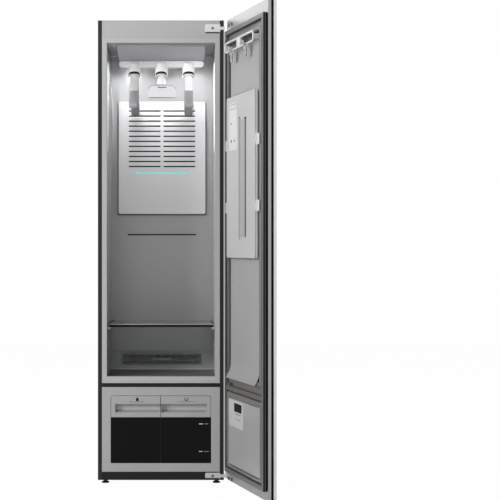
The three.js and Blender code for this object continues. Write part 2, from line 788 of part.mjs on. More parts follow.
// Intake: a sloped housing at the foot of the rear wall, with a lint filter let into its face
const intakeFoot = linerFloor + seat;
const slopeTop = [backWall - seat - filterRib, intakeTop];
const slopeFoot = [backWall - intakeReach, intakeFoot + intakeToe];
const slopeLength = Math.hypot(slopeFoot[0] - slopeTop[0], slopeFoot[1] - slopeTop[1]);
const along = [0, 1].map((i) => (slopeFoot[i] - slopeTop[i]) / slopeLength);
const outward = [along[1], -along[0]];
const onSlope = (distance, lift) =>
  [0, 1].map((i) => slopeTop[i] + along[i] * distance + outward[i] * lift);
const slab = (from, to, low, high, left, right) => drawn(corners(
  onSlope(from, low), onSlope(to, low), onSlope(to, high), onSlope(from, high),
), 'YZ', left, right);
const pocketFloor = (y) => {
  const [y0, z0] = onSlope(0, -filterThick - filterGap);
  return z0 + ((y - y0) * along[1]) / along[0];
};
const throatBack = backWall - intakeToe - filterRib;
piece('intake_housing', cut(
  drawn(corners(
    [backWall - seat, intakeFoot], [backWall - seat, intakeTop], slopeTop, slopeFoot,
    [backWall - intakeReach, intakeFoot],
  ), 'YZ', seat - linerHalf, linerHalf - seat),
  slab(filterInset, slopeLength - filterInset, -filterThick - filterGap, overrun,
    -filterHalf - filterGap, filterHalf + filterGap),
  drawn(corners(
    [throatFront, intakeFoot - overrun], [throatBack, intakeFoot - overrun],
    [throatBack, pocketFloor(throatBack) + linerStep], [throatFront, pocketFloor(throatFront) + linerStep],
  ), 'YZ', -throatHalf, throatHalf),
), liningGrey);
const filterFrom = filterInset + filterGap;
const filterTo = slopeLength - filterInset - filterGap;
let filter = slab(filterFrom, filterTo, -filterThick, 0, -filterHalf, filterHalf);
const bayCount = filterRibs + 1;
const bayPitch = (filterHalf + filterHalf - filterFrame - filterFrame + filterRib) / bayCount;
for (const bay of count(bayCount)) {
  const left = filterFrame - filterHalf + bay * bayPitch;
  filter = cut(filter, slab(filterFrom + filterFrame, filterTo - filterFrame,
    -filterThick - overrun, overrun, left, left + bayPitch - filterRib));
}
const filterMiddle = middle(filterFrom, filterTo);
piece('filter_cassette', join(
  filter,
  slab(filterMiddle - gripHeight / 2, filterMiddle + gripHeight / 2, -filterThick, gripRise,
    -gripHalf, gripHalf),
  slab(filterMiddle - filterRib / 2, filterMiddle + filterRib / 2, -filterThick, -filterPlate,
    filterRib - filterHalf, filterHalf - filterRib),
), liningGrey);

// Lower fascia: the frame round the two tanks, moulded with a return all round
piece('lower_fascia', cut(
  block([-frontHalf, frontHalf], [front, deep(frontReturn)], [plinthTop + seat, fasciaTop]),
  block([frontPlate - frontHalf, frontHalf - frontPlate], [deep(frontPlate), deep(frontReturn + overrun)],
    [plinthTop + seat + frontPlate, fasciaTop - frontPlate]),
  drawn(rounded([-tankHalf, tankHalf], [tankBottom, tankTop], [0, 0, tankCorner, tankCorner]),
    'XZ', front - overrun, deep(frontReturn)),
), paleGrey);

// Water tanks: a smoky container each, under a lid with the grip in its front
const tankInner = tankGap / 2;
const tankOuter = tankHalf - tankGap / 2;
const tankFace = deep(tankGap / 2);
const tankRear = deep(tankDepth);
const span = (side, a, b) => [side * a, side * b].sort((p, q) => p - q);
for (const [name, side] of [['left', -1], ['right', 1]]) {
  const outer = span(side, tankInner, tankOuter);
  piece(`tank_${name}`, cut(
    drawn(rounded(outer, [tankFace, tankRear], [0, 0, tankCorner, tankCorner]), 'XY',
      tankBottom + tankInner, tankSplit - seat, { curve: 3 }),
    block(span(side, tankInner + tankWall, tankOuter - tankWall),
      [tankFace + tankWall, tankRear - tankCorner / 2],
      [tankBottom + tankInner + tankWall, tankSplit + overrun]),
  ), smoke);
  const topRadii = side < 0 ? [0, 0, 0, tankCorner] : [0, 0, tankCorner, 0];
  const gripWall = recessTop + recessCorner + recessCorner + recessCorner;
  piece(`tank_lid_${name}`, cut(
    join(
      drawn(rounded(outer, [tankSplit, tankTop - tankInner], topRadii), 'XZ', tankFace, deep(handleDepth)),
      block(outer, [deep(handleDepth - lidPlate), tankRear - tankCorner], [tankSplit, tankSplit + lidPlate]),
    ),
    drawn(corners(
      [tankFace - overrun, recessBottom - overrun / 2], [tankFace, recessBottom],
      [deep(recessDepth), recessBottom + recessCorner + recessCorner],
      [deep(recessDepth), gripWall], [deep(recessCorner + recessCorner), gripWall],
      [deep(recessCorner + recessCorner), recessTop], [tankFace - overrun, recessTop],
    ), 'YZ', ...span(side, tankInner + tankWall, tankOuter - recessOuter)),
    rod(fillRadius, lidPlate + overrun + overrun, [
      side * middle(tankInner, tankOuter), middle(deep(handleDepth), tankRear), tankSplit - overrun,
    ], 'Z', 16),
  ), paleGrey);
}

// Tank bay: the sheet floor that carries the tanks, with side and rear walls down to the base tray
const bayHalf = tankHalf + overrun;
const bayBack = tankRear + overrun;
const bayStand = baseSheet + seat;
const bayFrontWall = trayFront + baseSheet + seat;
piece('tank_bay', join(
  block([-bayHalf, bayHalf], [deep(frontPlate + seat), bayBack],
    [tankBottom + tankInner - seat - bayWall, tankBottom + tankInner - seat]),
  block([-bayHalf - bayWall, bayHalf + bayWall], [bayBack, bayBack + bayWall], [bayStand, tankTop]),
  ...[-1, 1].map((side) => block(span(side, bayHalf, bayHalf + bayWall),
    [bayFrontWall, bayBack + bayWall], [bayStand, tankTop])),
), bareMetal);

// Cabinet halves of the two hinges: a screwed plate, an arm round the corner and a fixed pin
const pivot = [half + pivotOut, front - pivotAhead];
const plateTo = half - hingeEdge;
const plateFrom = plateTo - hingeHalf - hingeHalf;
const hingeFace = front - seat;
for (const [name, centre, pinSide, tall] of [
  ['top', hingeTopCentre, -1, hingeHeight],
  ['bottom', hingeBottomCentre, 1, hingeFootHeight],
]) {
  const knuckle = knuckleHeight / 2;
  const armSpan = [centre - knuckle, centre + knuckle];
  const pinLength = knuckleHeight + knuckle + seat + pinPlay;
  const pinEnds = [centre, centre + pinSide * pinLength].sort((a, b) => a - b);
  piece(`hinge_${name}`, join(
    drawn(rounded([plateFrom, plateTo], [centre - tall / 2, centre + tall / 2], [knuckle, 0, 0, knuckle]),
      'XZ', hingeFace - hingePlate, hingeFace, { curve: 3 }),
    block([plateTo - overrun, pivot[0] + armThick / 2], [hingeFace - hingePlate, hingeFace], armSpan),
    block([pivot[0] - armThick / 2, pivot[0] + armThick / 2], [pivot[1], hingeFace], armSpan),
    rod(knuckleRadius, knuckleHeight, [...pivot, armSpan[0]], 'Z', 16),
    rod(pinRadius, pinEnds[1] - pinEnds[0], [...pivot, pinEnds[0]], 'Z', 12),
  ), steel);
}

// Machine compartment: compressor, steam generator, coils, pump, control box and fan on the base tray
const deckTop = baseSheet + seat;
const compressorPlace = [compressorX, deep(compressorDeep), deckTop];
const shellEdge = compressorRadius / 3;
piece('compressor', join(
  turned([
    [0, 0], [compressorRadius / 2, 0], [compressorRadius, shellEdge],
    [compressorRadius, compressorHeight - shellEdge], [compressorRadius - shellEdge, compressorHeight],
    [0, compressorHeight],
  ], compressorPlace, 'Z', 24),
  block([compressorX - compressorRadius, compressorX + compressorRadius],
    [deep(compressorDeep - compressorRadius / 2), deep(compressorDeep + compressorRadius / 2)],
    [deckTop, deckTop + compressorFoot]),
), black);
piece('steam_generator', join(
  turned([
    [0, 0], [boilerRadius, 0], [boilerRadius, boilerLength - boilerFoot],
    [boilerRadius - boilerFoot, boilerLength], [0, boilerLength],
  ], [boilerX, deep(boilerDeep), deckTop + boilerFoot], 'Z', 20),
  block([boilerX - boilerRadius, boilerX + boilerRadius],
    [deep(boilerDeep - boilerFoot), deep(boilerDeep + boilerFoot)],
    [deckTop, deckTop + boilerFoot + linerStep]),
  rod(stemRadius, boilerFoot + boilerFoot, [boilerX, deep(boilerDeep), deckTop + boilerLength], 'Z', 10),
), bareMetal);
const coilPair = [['evaporator', coilFront], ['condenser', coilFront + coilDepth + coilGap]];
for (const [name, start] of coilPair) {
  const finPitch = (coilHalf + coilHalf - coilPlate) / (finCount + 1);
  const coilTop = coilBottom + coilHeight;
  const fins = count(finCount).map((i) => {
    const x = coilX - coilHalf + (i + 1) * finPitch;
    return block([x, x + finThick], [deep(start), deep(start + coilDepth)], [coilBottom, coilTop]);
  });
  const ends = [coilX - coilHalf, coilX + coilHalf - coilPlate].map((x) =>
    block([x, x + coilPlate], [deep(start), deep(start + coilDepth)], [deckTop, coilTop]));
  const tubes = [1, 2].map((i) => rod(stemRadius, coilHalf + coilHalf,
    [coilX - coilHalf, deep(start + coilDepth / 2), coilBottom + (coilHeight * i) / 3], 'X', 6));
  piece(name, join(ends[0], ...tubes, ends[1], ...fins), name === 'condenser' ? copper : bareMetal);
}
piece('drain_pump', join(
  rod(pumpRadius, pumpHeight, [pumpX, deep(pumpDeep), deckTop], 'Z', 16),
  rod(stemRadius, pumpRadius + stemLength,
    [pumpX - pumpRadius - stemLength, deep(pumpDeep), pumpHeight / 2], 'X', 10),
), black);
const caseFront = deep(boardCaseDeep);
const caseSpan = [coilX + coilHalf + boardCaseGap, half - boardCaseMargin];
const boardFinPitch = (caseSpan[1] - caseSpan[0]) / (boardFins + 1);
const boardFinSpan = [boardCaseBottom + boilerFoot, boardCaseBottom + boardTall - boilerFoot];
piece('control_box', join(
  block(caseSpan, [caseFront, caseFront + boardCase], [boardCaseBottom, boardCaseBottom + boardTall]),
  ...caseSpan.map((x) => block([x - bayWall, x + bayWall],
    [caseFront, caseFront + boardCase], [deckTop, boardCaseBottom + coilPlate])),
  ...count(boardFins).map((i) => caseSpan[0] + (i + 1) * boardFinPitch).map((x) => block(
    [x, x + finThick], [caseFront + boardCase - linerStep, caseFront + boardCase + boilerFoot],
    boardFinSpan)),
), green);

// Fan: a scroll housing with its motor on the rear, blowing up into the duct behind the rear wall
const ductStartY = backWall + linerWall + seat;
const ductFoot = fanCentreZ + fanRadius + fanRadius + fanHub;
const scroll = (wall) => {
  const shape = new THREE.Shape();
  const bigRadius = fanRadius + overrun + scrollGrowth;
  const outletTop = wall ? ductFoot + overrun : ductFoot - seat;
  for (const step of count(scrollSteps + 1)) {
    const share = step / scrollSteps;
    const angle = THREE.MathUtils.degToRad(scrollStart + scrollTurn * share);
    const radius = fanRadius + overrun + scrollGrowth * share - wall;
    const at = [fanX + radius * Math.cos(angle), fanCentreZ + radius * Math.sin(angle)];
    if (step) shape.lineTo(...at);
    else shape.moveTo(...at);
  }
  const startAngle = THREE.MathUtils.degToRad(scrollStart);
  const outletLeft = fanX + (fanRadius + overrun) * Math.cos(startAngle) + wall;
  shape.lineTo(fanX + bigRadius - wall, outletTop).lineTo(outletLeft, outletTop);
  return shape;
};
const fanBack = deep(fanFront + fanDepth);
const fanAxisAt = (y) => [fanX, y, fanCentreZ];
piece('fan_housing', cut(
  join(
    drawn(scroll(0), 'XZ', deep(fanFront), fanBack),
    rod(motorRadius, motorLength + fanWall, fanAxisAt(fanBack - fanWall), 'Y', 18),
    block([fanX - motorRadius, fanX + motorRadius], [deep(fanFront), fanBack],
      [deckTop, fanCentreZ - fanRadius - overrun - fanWall]),
  ),
  drawn(scroll(fanWall), 'XZ', deep(fanFront + fanWall), fanBack - fanWall),
  rod(mouthRadius, fanWall + overrun + overrun, fanAxisAt(deep(fanFront) - overrun), 'Y', 20),
  rod(fanShaft + seat, motorLength + overrun, fanAxisAt(fanBack - overrun), 'Y', 16),
), black);
const wheelFront = deep(fanFront + fanWall + fanWall);
const wheelBack = fanBack - fanWall - fanWall;
const blades = count(bladeCount).map((i) => {
  const blade = block([mouthRadius, fanRadius - fanWall], [wheelFront, wheelBack],
    [-bladeThick / 2, bladeThick / 2]);
  return blade.rotateY((i / bladeCount) * Math.PI * 2).translate(fanX, 0, fanCentreZ);
});
piece('fan_wheel', join(
  turned([
    [0, wheelFront + fanHub], [fanHub, wheelFront + fanHub], [fanHub, wheelBack - fanWall],
    [fanRadius, wheelBack - fanWall], [fanRadius, wheelBack], [fanShaft, wheelBack],
    [fanShaft, fanBack + motorLength / 2], [0, fanBack + motorLength / 2],
  ], [fanX, 0, fanCentreZ], 'Y', 24),
  ...blades,
), offWhite);
piece('rear_duct', cut(
  block([-ductWide, ductWide], [ductStartY, ductStartY + ductDepth], [ductFoot, ductTop]),
  block([ductWall - ductWide, ductWide - ductWall], [ductStartY - overrun, ductStartY + ductDepth - ductWall],
    [ductFoot - overrun, ductTop - ductWall]),
), bareMetal);

// Door: built closed about its hinge axis, then swung open with everything that it carries
const door = new THREE.Group();
door.position.set(pivot[0], pivot[1], 0);
door.rotation.z = THREE.MathUtils.degToRad(doorOpen);
cabinet.add(door);
const doorCentre = -pivot[0];
const across = (from, to) => [doorCentre + from, doorCentre + to]; // places from the door's centre line
const innerFace = pivotAhead - doorGap;
const frameBack = innerFace - doorFrameThick;
const grooveBack = frameBack - doorGroove;
const doorFace = grooveBack - doorPanelThick;
const ringOf = (outer, outerZ, inner, innerZ, radius, innerRadius = radius / 2) => {
  const shape = rounded(outer, outerZ, radius);
  shape.holes.push(new THREE.Path(rounded(inner, innerZ, innerRadius).getPoints(3)));
  return shape;
};

// Outer panel: a shallow tray of sheet, its rim turned towards the frame
piece('door_panel', cut(
  drawn(rounded(across(-half, half), [doorBottom, doorTop], panelCorner), 'XZ',
    doorFace, grooveBack - seat, { edge: panelEdge, edgeSteps: 1, curve: 2 }),
  block(across(panelRim - half, half - panelRim), [doorFace + panelSheet, grooveBack - seat - panelSheet],
    [doorBottom + panelRim, doorTop - panelRim]),
  block(across(panelReturn - half, half - panelReturn), [doorFace + panelSheet, grooveBack + overrun],
    [doorBottom + panelReturn, doorTop - panelReturn]),
), white, door);

// Door frame: the light border behind the gasket, standing off the panel by a dark groove
const ringIn = half - doorFrameRing;
const ringHole = [doorBottom + doorFrameRing, doorTop - doorFrameRing];
piece('door_frame', join(
  drawn(ringOf(across(-half, half), [doorBottom, doorTop], across(-ringIn, ringIn), ringHole, frameCorner),
    'XZ', frameBack, innerFace, { curve: 2 }),
  drawn(ringOf(across(doorGrooveInset - half, half - doorGrooveInset),
    [doorBottom + doorGrooveInset, doorTop - doorGrooveInset],
    across(-ringIn, ringIn), ringHole, frameCorner),
  'XZ', grooveBack, frameBack + linerStep, { curve: 2 }),
  block(across(-ringIn - overrun, ringIn + overrun), [grooveBack, innerFace],
    [fasciaTop - gasketWidth, railTop + gasketWidth]),
), paleGrey, door);

// Door liner: a moulded plate with a raised rim for the cavity and a lower one for the tank bay
const linerIn = gasketInner - seat;
const linerBack = innerFace + seat;
const linerFace = linerBack + linerPlate;
const rimFace = innerFace + rimHeight;
const rimRoot = middle(linerBack, linerFace);
const upperRim = [cavityBottom + rimClear, cavityTop - rimClear];
const lowerRim = [gasketBottom + gasketWidth + rimClear, lowerRimTop];
piece('door_liner', join(
  block(across(-linerIn, linerIn), [linerBack, linerFace],
    [gasketBottom + gasketWidth + seat, gasketTop - gasketWidth - seat]),
  drawn(ringOf(across(-rimHalf, rimHalf), upperRim, across(rimWidth - rimHalf, rimHalf - rimWidth),
    [upperRim[0] + rimWidth, upperRim[1] - rimWidth], rimCorner), 'XZ', rimRoot, rimFace,
  { edge: rimDraft, edgeSteps: 1, curve: 3 }),
  drawn(ringOf(across(-rimHalf, rimHalf), lowerRim, across(rimWidth - rimHalf, rimHalf - rimWidth),
    [lowerPanelBottom + rimWidth, lowerPanelTop], rimCorner), 'XZ', rimRoot, innerFace + lowerRimHeight,
  { edge: rimDraft, edgeSteps: 1, curve: 3 }),
), warmGrey, door);

// Gasket: one soft ring round the door with a bar across between the two compartments
const gasketSpan = [innerFace + seat, pivotAhead - seat];
const barSpan = [linerFace + seat, pivotAhead - seat];
piece('door_gasket', join(
  drawn(ringOf(across(-gasketOuter, gasketOuter), [gasketBottom, gasketTop],
    across(-gasketInner, gasketInner), [gasketBottom + gasketWidth, gasketTop - gasketWidth],
    gasketCorner, 0),
  'XZ', ...gasketSpan, { edge: gasketEdge, edgeSteps: 1, curve: 2 }),
  block(across(-gasketInner - overrun, gasketInner + overrun), barSpan, [fasciaTop, railTop]),
  block(across(rimHalf - spoutWidth - spoutWidth, rimHalf - spoutWidth), barSpan,
    [railTop - linerStep, railTop + spoutHeight]),
), rubber, door);

// Door halves of the hinges: a strap on the frame that ends in a knuckle round the fixed pin
for (const [name, centre, pinSide] of [['top', hingeTopCentre, -1], ['bottom', hingeBottomCentre, 1]]) {
  const near = centre + pinSide * (knuckleHeight / 2 + seat);
  const z = [near, near + pinSide * knuckleHeight].sort((a, b) => a - b);
  const boreZ = z[0] - overrun;
  piece(`door_strap_${name}`, cut(
    join(
      block([-strapReach, 0], [innerFace + seat, innerFace + seat + strapThick], z),
      rod(knuckleRadius, knuckleHeight, [0, 0, z[0]], 'Z', 16),
    ),
    rod(pinRadius + pinPlay, knuckleHeight + overrun + overrun, [0, 0, boreZ], 'Z', 12),
  ), steel, door);
}

// Press plate: the long plate on the liner that the board presses against, flared at its foot
const plateBack = linerFace + pressStandOff;
const plateFace = plateBack + pressPlate;
const flareTop = pressBottom + flareHeight;
const boardBack = plateFace + boardGap;
const boardFace = boardBack + boardThick;
const boardAxis = [doorCentre - pressHalf - tabReach, middle(boardBack, boardFace)];
const flare = new THREE.Shape();
flare.moveTo(plateBack, pressTop).lineTo(plateFace, pressTop).lineTo(plateFace, flareTop);
flare.quadraticCurveTo(plateFace, middle(pressBottom, flareTop), plateFace + flareOut, pressBottom);
flare.lineTo(plateBack + flareOut - pressPlate / 4, pressBottom);
flare.quadraticCurveTo(plateBack, middle(pressBottom, flareTop), plateBack, flareTop);
const tabCentres = [tabLow, tabHigh];
const tabHalf = tabHeight / 2;
const earGap = tabHeight / 5;
const earFrom = tabHalf - earGap;
const pegPlaces = [-1, 1].flatMap((side) => [flareTop, tabLow, tabHigh, pressTop - tabHeight]
  .map((z) => [doorCentre + side * (pressHalf - tabHeight), z]));
piece('press_plate', cut(
  join(
    drawn(flare, 'YZ', ...across(-pressHalf, pressHalf), { curve: 8 }),
    ...pegPlaces.map(([x, z]) => rod(ventPegRadius, pressStandOff, [x, linerFace + seat, z], 'Y', 8)),
    ...tabCentres.map((z) => block([boardAxis[0] - tabThick, doorCentre - pressHalf + overrun],
      [plateBack, plateFace], [z - tabHalf, z + tabHalf])),
    ...tabCentres.flatMap((z) => [[z - tabHalf, z - earFrom], [z + earFrom, z + tabHalf]])
      .map((ear) => block([boardAxis[0] - tabThick, boardAxis[0] + tabThick],
        [plateBack, boardFace - linerStep], ear)),
    ...tabCentres.map((z) => rod(boardPin, tabHeight - earGap,
      [...boardAxis, z - (tabHeight - earGap) / 2], 'Z', 10)),
    ...tabCentres.map((z) => drawn(rounded(
      [doorCentre + pressHalf - overrun, doorCentre + pressHalf + tabReach],
      [z - tabHalf, z + tabHalf], tabThick,
    ), 'XZ', plateBack, plateFace, { curve: 3 })),
    ...tabCentres.map((z) => block([doorCentre + pressHalf + linerStep, doorCentre + pressHalf + tabReach],
      [plateBack, boardFace - linerStep], [z - tabHalf + tabThick, z + tabHalf - tabThick])),
  ),
), offWhite, door);

// Press board: a thick moulded board with a long grip groove, hung on the plate's two pins
const boardGrip = doorCentre + grooveOffset;
piece('press_board', cut(
  join(
    drawn(rounded(across(-pressHalf, pressHalf), [boardBottom, boardTop], boardCorner), 'XZ',
      boardBack, boardFace, { edge: boardEdge, edgeSteps: 2, curve: 4 }),
    ...tabCentres.map((z) => block([boardAxis[0], doorCentre - pressHalf + overrun],
      [boardAxis[1] - tabThick, boardAxis[1] + tabThick], [z - earFrom + seat, z + earFrom - seat])),
    ...tabCentres.map((z) => rod(tabThick, earFrom + earFrom - seat - seat,
      [...boardAxis, z - earFrom + seat], 'Z', 12)),
  ),
  ...tabCentres.map((z) => rod(boardPin + pinPlay, tabHeight, [...boardAxis, z - tabHalf], 'Z', 10)),
  drawn(rounded([boardGrip - grooveHalf, boardGrip + grooveHalf], [grooveBottom, grooveTop], grooveHalf),
    'XZ', boardFace - grooveDeep, boardFace + overrun, { curve: 6 }),
), offWhite, door);

// Trouser hanger: a loop of bar on two stand-off arms, with a fixed jaw for each clip
const loopBack = linerFace + loopStand;
const loopFront = loopBack + loopBar;
const jawBack = loopBack;
const jawFace = jawBack + clipThick;
const clipAxis = [jawFace + clipPin + linerStep, loopBottom - clipHeight / 4];
const clipPlaces = [['left', -clipOffset], ['right', clipOffset]];
const jawFoot = loopBottom - clipHeight;
const clipEars = clipPlaces.flatMap(([, x]) => [-1, 1].map((side) => block(
  across(...span(side, side * x + clipHalf + seat, side * x + clipHalf + seat + clipEar)),
  [jawBack, clipAxis[0] + clipPin + clipPin],
  [clipAxis[1] - clipPin - clipPin, clipAxis[1] + clipPin + clipPin],
)));
piece('trouser_hanger', cut(
  join(
    drawn(ringOf(across(-loopHalf, loopHalf), [loopBottom, loopTop],
      across(loopBar - loopHalf, loopHalf - loopBar), [loopBottom + loopBar, loopTop - loopBar], loopCorner),
    'XZ', loopBack, loopFront, { edge: loopEdge, edgeSteps: 1, curve: 4 }),
    ...[-1, 1].map((side) => block(across(...span(side, loopHalf - loopBar, loopHalf)),
      [linerFace + seat, loopFront - linerStep], [pressTop + loopPlate, loopTop - loopCorner])),
    block(across(-loopBlockHalf, loopBlockHalf), [loopBack, loopFront],
      [loopBottom + linerStep, loopTop - linerStep]),
    ...clipPlaces.map(([, x]) => block(across(x - clipHalf - seat - clipEar, x + clipHalf + seat + clipEar),
      [jawBack, jawFace], [jawFoot, loopBottom + loopBar / 2])),
    ...clipEars,
  ),
  ...clipPlaces.map(([, x]) => rod(clipPin + pinPlay, (clipHalf + overrun) * 2,
    [doorCentre + x - clipHalf - overrun, ...clipAxis], 'X', 10)),
), white, door);
for (const [name, x] of clipPlaces) {
  const leverBack = clipAxis[0];
  const leverTop = clipAxis[1] + clipHeight / 6;
  const wide = across(x - clipHalf, x + clipHalf);
  piece(`trouser_clip_${name}`, join(
    block(wide, [leverBack, leverBack + clipThick], [jawFoot, leverTop]),
    block(wide, [jawFace + seat, leverBack + linerStep], [jawFoot, jawFoot + clipThick]),
    rod(clipPin, (clipHalf + seat + clipEar) * 2, [wide[0] - seat - clipEar, ...clipAxis], 'X', 10),
  ), steel, door);
}

export default cabinet;
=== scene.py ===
import json
import math

import bmesh
import bpy
from mathutils import Matrix, Vector

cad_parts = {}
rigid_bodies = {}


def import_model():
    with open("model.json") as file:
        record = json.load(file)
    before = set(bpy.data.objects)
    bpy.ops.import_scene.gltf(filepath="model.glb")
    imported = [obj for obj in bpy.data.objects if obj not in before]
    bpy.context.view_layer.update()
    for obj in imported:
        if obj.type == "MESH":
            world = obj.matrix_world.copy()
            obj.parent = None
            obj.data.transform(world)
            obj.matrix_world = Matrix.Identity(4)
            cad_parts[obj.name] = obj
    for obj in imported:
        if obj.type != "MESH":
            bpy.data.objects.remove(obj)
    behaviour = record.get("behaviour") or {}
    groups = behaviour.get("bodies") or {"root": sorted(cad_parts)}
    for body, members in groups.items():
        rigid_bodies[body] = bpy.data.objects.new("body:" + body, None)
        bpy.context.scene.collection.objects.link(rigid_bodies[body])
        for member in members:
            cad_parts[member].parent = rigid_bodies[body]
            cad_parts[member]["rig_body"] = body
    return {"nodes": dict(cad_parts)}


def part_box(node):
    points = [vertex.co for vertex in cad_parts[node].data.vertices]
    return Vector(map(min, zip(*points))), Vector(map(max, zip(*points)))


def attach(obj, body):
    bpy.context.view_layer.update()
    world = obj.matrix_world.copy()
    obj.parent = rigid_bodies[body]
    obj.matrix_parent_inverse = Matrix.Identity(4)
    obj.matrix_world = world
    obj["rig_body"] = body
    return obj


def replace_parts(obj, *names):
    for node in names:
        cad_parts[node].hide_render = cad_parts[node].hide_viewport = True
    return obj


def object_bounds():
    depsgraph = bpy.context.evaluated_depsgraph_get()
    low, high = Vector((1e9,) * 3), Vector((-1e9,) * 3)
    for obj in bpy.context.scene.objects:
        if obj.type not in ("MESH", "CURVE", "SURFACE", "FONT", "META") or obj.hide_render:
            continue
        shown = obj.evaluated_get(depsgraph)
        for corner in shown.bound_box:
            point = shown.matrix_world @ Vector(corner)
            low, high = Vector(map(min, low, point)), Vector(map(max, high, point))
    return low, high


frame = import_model()
nodes = frame["nodes"]
cad_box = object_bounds()
scene = bpy.context.scene
scene.view_settings.view_transform = "Standard"

# The view: the camera stands level before the cabinet, about six metres off and a little to
# the right of its middle. The picture is 500 by 500, and its shift leaves room for the door.
eye = bpy.data.cameras.new("eye")
eye.lens = 98.5
eye.sensor_width = 36
eye.shift_x = 0.144
eye.shift_y = -0.006
eye.clip_end = 40
viewer = bpy.data.objects.new("viewer", eye)
viewer.location = (0.0723, -6.067, 0.9856)
viewer.rotation_euler = (math.radians(90), 0, 0)
scene.collection.objects.link(viewer)
scene.camera = viewer


# The room: a pale floor under the feet, a white surround and four broad soft lamps.
# The floor shows white to the eye, so that only the soft shadow under the cabinet is left.
def seen_directly(tree):
    """One where the eye, a gloss or a clear piece looks straight at the surface."""
    path = tree.nodes.new("ShaderNodeLightPath")
    seen = None
    for ray in ("Is Camera Ray", "Is Glossy Ray", "Is Transmission Ray"):
        if seen is None:
            seen = path.outputs[ray]
            continue
        more = tree.nodes.new("ShaderNodeMath")
        more.operation = "MAXIMUM"
        tree.links.new(seen, more.inputs[0])
        tree.links.new(path.outputs[ray], more.inputs[1])
        seen = more.outputs[0]
    return seen


def white_floor():
    paint = bpy.data.materials.new("studio floor")
    paint.use_nodes = True
    tree = paint.node_tree
    tree.nodes.clear()
    dull = tree.nodes.new("ShaderNodeBsdfDiffuse")
    dull.inputs["Color"].default_value = (0.8, 0.8, 0.8, 1)
    lit = tree.nodes.new("ShaderNodeEmission")
    lit.inputs["Color"].default_value = (1, 1, 1, 1)
    share = tree.nodes.new("ShaderNodeMath")
    share.operation = "MULTIPLY"
    share.inputs[1].default_value = 0.985
    both = tree.nodes.new("ShaderNodeMixShader")
    out = tree.nodes.new("ShaderNodeOutputMaterial")
    tree.links.new(seen_directly(tree), share.inputs[0])
    tree.links.new(share.outputs[0], both.inputs[0])
    tree.links.new(dull.outputs[0], both.inputs[1])
    tree.links.new(lit.outputs[0], both.inputs[2])
    tree.links.new(both.outputs[0], out.inputs["Surface"])
    return paint


floor_level = cad_box[0][2]
floor_reach = 9
floor_mesh = bpy.data.meshes.new("floor")
floor_mesh.from_pydata([(x * floor_reach, y * floor_reach, floor_level)
                        for x, y in ((-1, -1), (1, -1), (1, 1), (-1, 1))], [], [(0, 1, 2, 3)])
floor_mesh.materials.append(white_floor())
floor = bpy.data.objects.new("floor", floor_mesh)
scene.collection.objects.link(floor)

room = bpy.data.worlds.new("room")
scene.world = room
room.use_nodes = True
room.node_tree.nodes.clear()
around = room.node_tree.nodes.new("ShaderNodeBackground")
around.inputs["Color"].default_value = (1, 1, 1, 1)
around.inputs["Strength"].default_value = 0.3
backdrop = room.node_tree.nodes.new("ShaderNodeBackground")
backdrop.inputs["Color"].default_value = (1, 1, 1, 1)
backdrop.inputs["Strength"].default_value = 1
either = room.node_tree.nodes.new("ShaderNodeMixShader")
sky = room.node_tree.nodes.new("ShaderNodeOutputWorld")
room.node_tree.links.new(seen_directly(room.node_tree), either.inputs[0])
room.node_tree.links.new(around.outputs[0], either.inputs[1])
room.node_tree.links.new(backdrop.outputs[0], either.inputs[2])
room.node_tree.links.new(either.outputs[0], sky.inputs["Surface"])


def soft_lamp(name, place, aim, wide, high, power):
    lamp = bpy.data.lights.new(name, "AREA")
    lamp.shape = "RECTANGLE"
    lamp.size = wide
    lamp.size_y = high
    lamp.energy = power
    holder = bpy.data.objects.new(name, lamp)
    holder.location = place
    holder.rotation_euler = (Vector(aim) - Vector(place)).to_track_quat("-Z", "Y").to_euler()
    scene.collection.objects.link(holder)


soft_lamp("lamp_left", place=(-4.0, -3.0, 2.5), aim=(0, -0.3, 1.5), wide=2.4, high=2.4, power=250)
soft_lamp("lamp_front", place=(-0.6, -4.2, 3.4), aim=(0, 0, 1.8), wide=1.8, high=1.8, power=38)
soft_lamp("lamp_right", place=(3.6, -2.4, 2.2), aim=(0, 0, 1.0), wide=2.0, high=2.4, power=45)
soft_lamp("lamp_back", place=(-1.5, 3.6, 2.8), aim=(0, 0, 1.0), wide=2.4, high=2.4, power=70)



# Casing: side panels, top cover, plinth, cross rail and base tray are folded steel sheet with a
# dark satin coat. The coat has a fine orange-peel grain and a paler line where an edge is rubbed.
def shader_group(name, inputs, outputs):
    group = bpy.data.node_groups.new(name, "ShaderNodeTree")
    for label, value in inputs:
        kind = "NodeSocketVector" if isinstance(value, tuple) else "NodeSocketFloat"
        group.interface.new_socket(label, in_out="INPUT", socket_type=kind).default_value = value
    for label, kind in outputs:
        group.interface.new_socket(label, in_out="OUTPUT", socket_type=kind)
    return group, group.nodes.new("NodeGroupInput"), group.nodes.new("NodeGroupOutput")


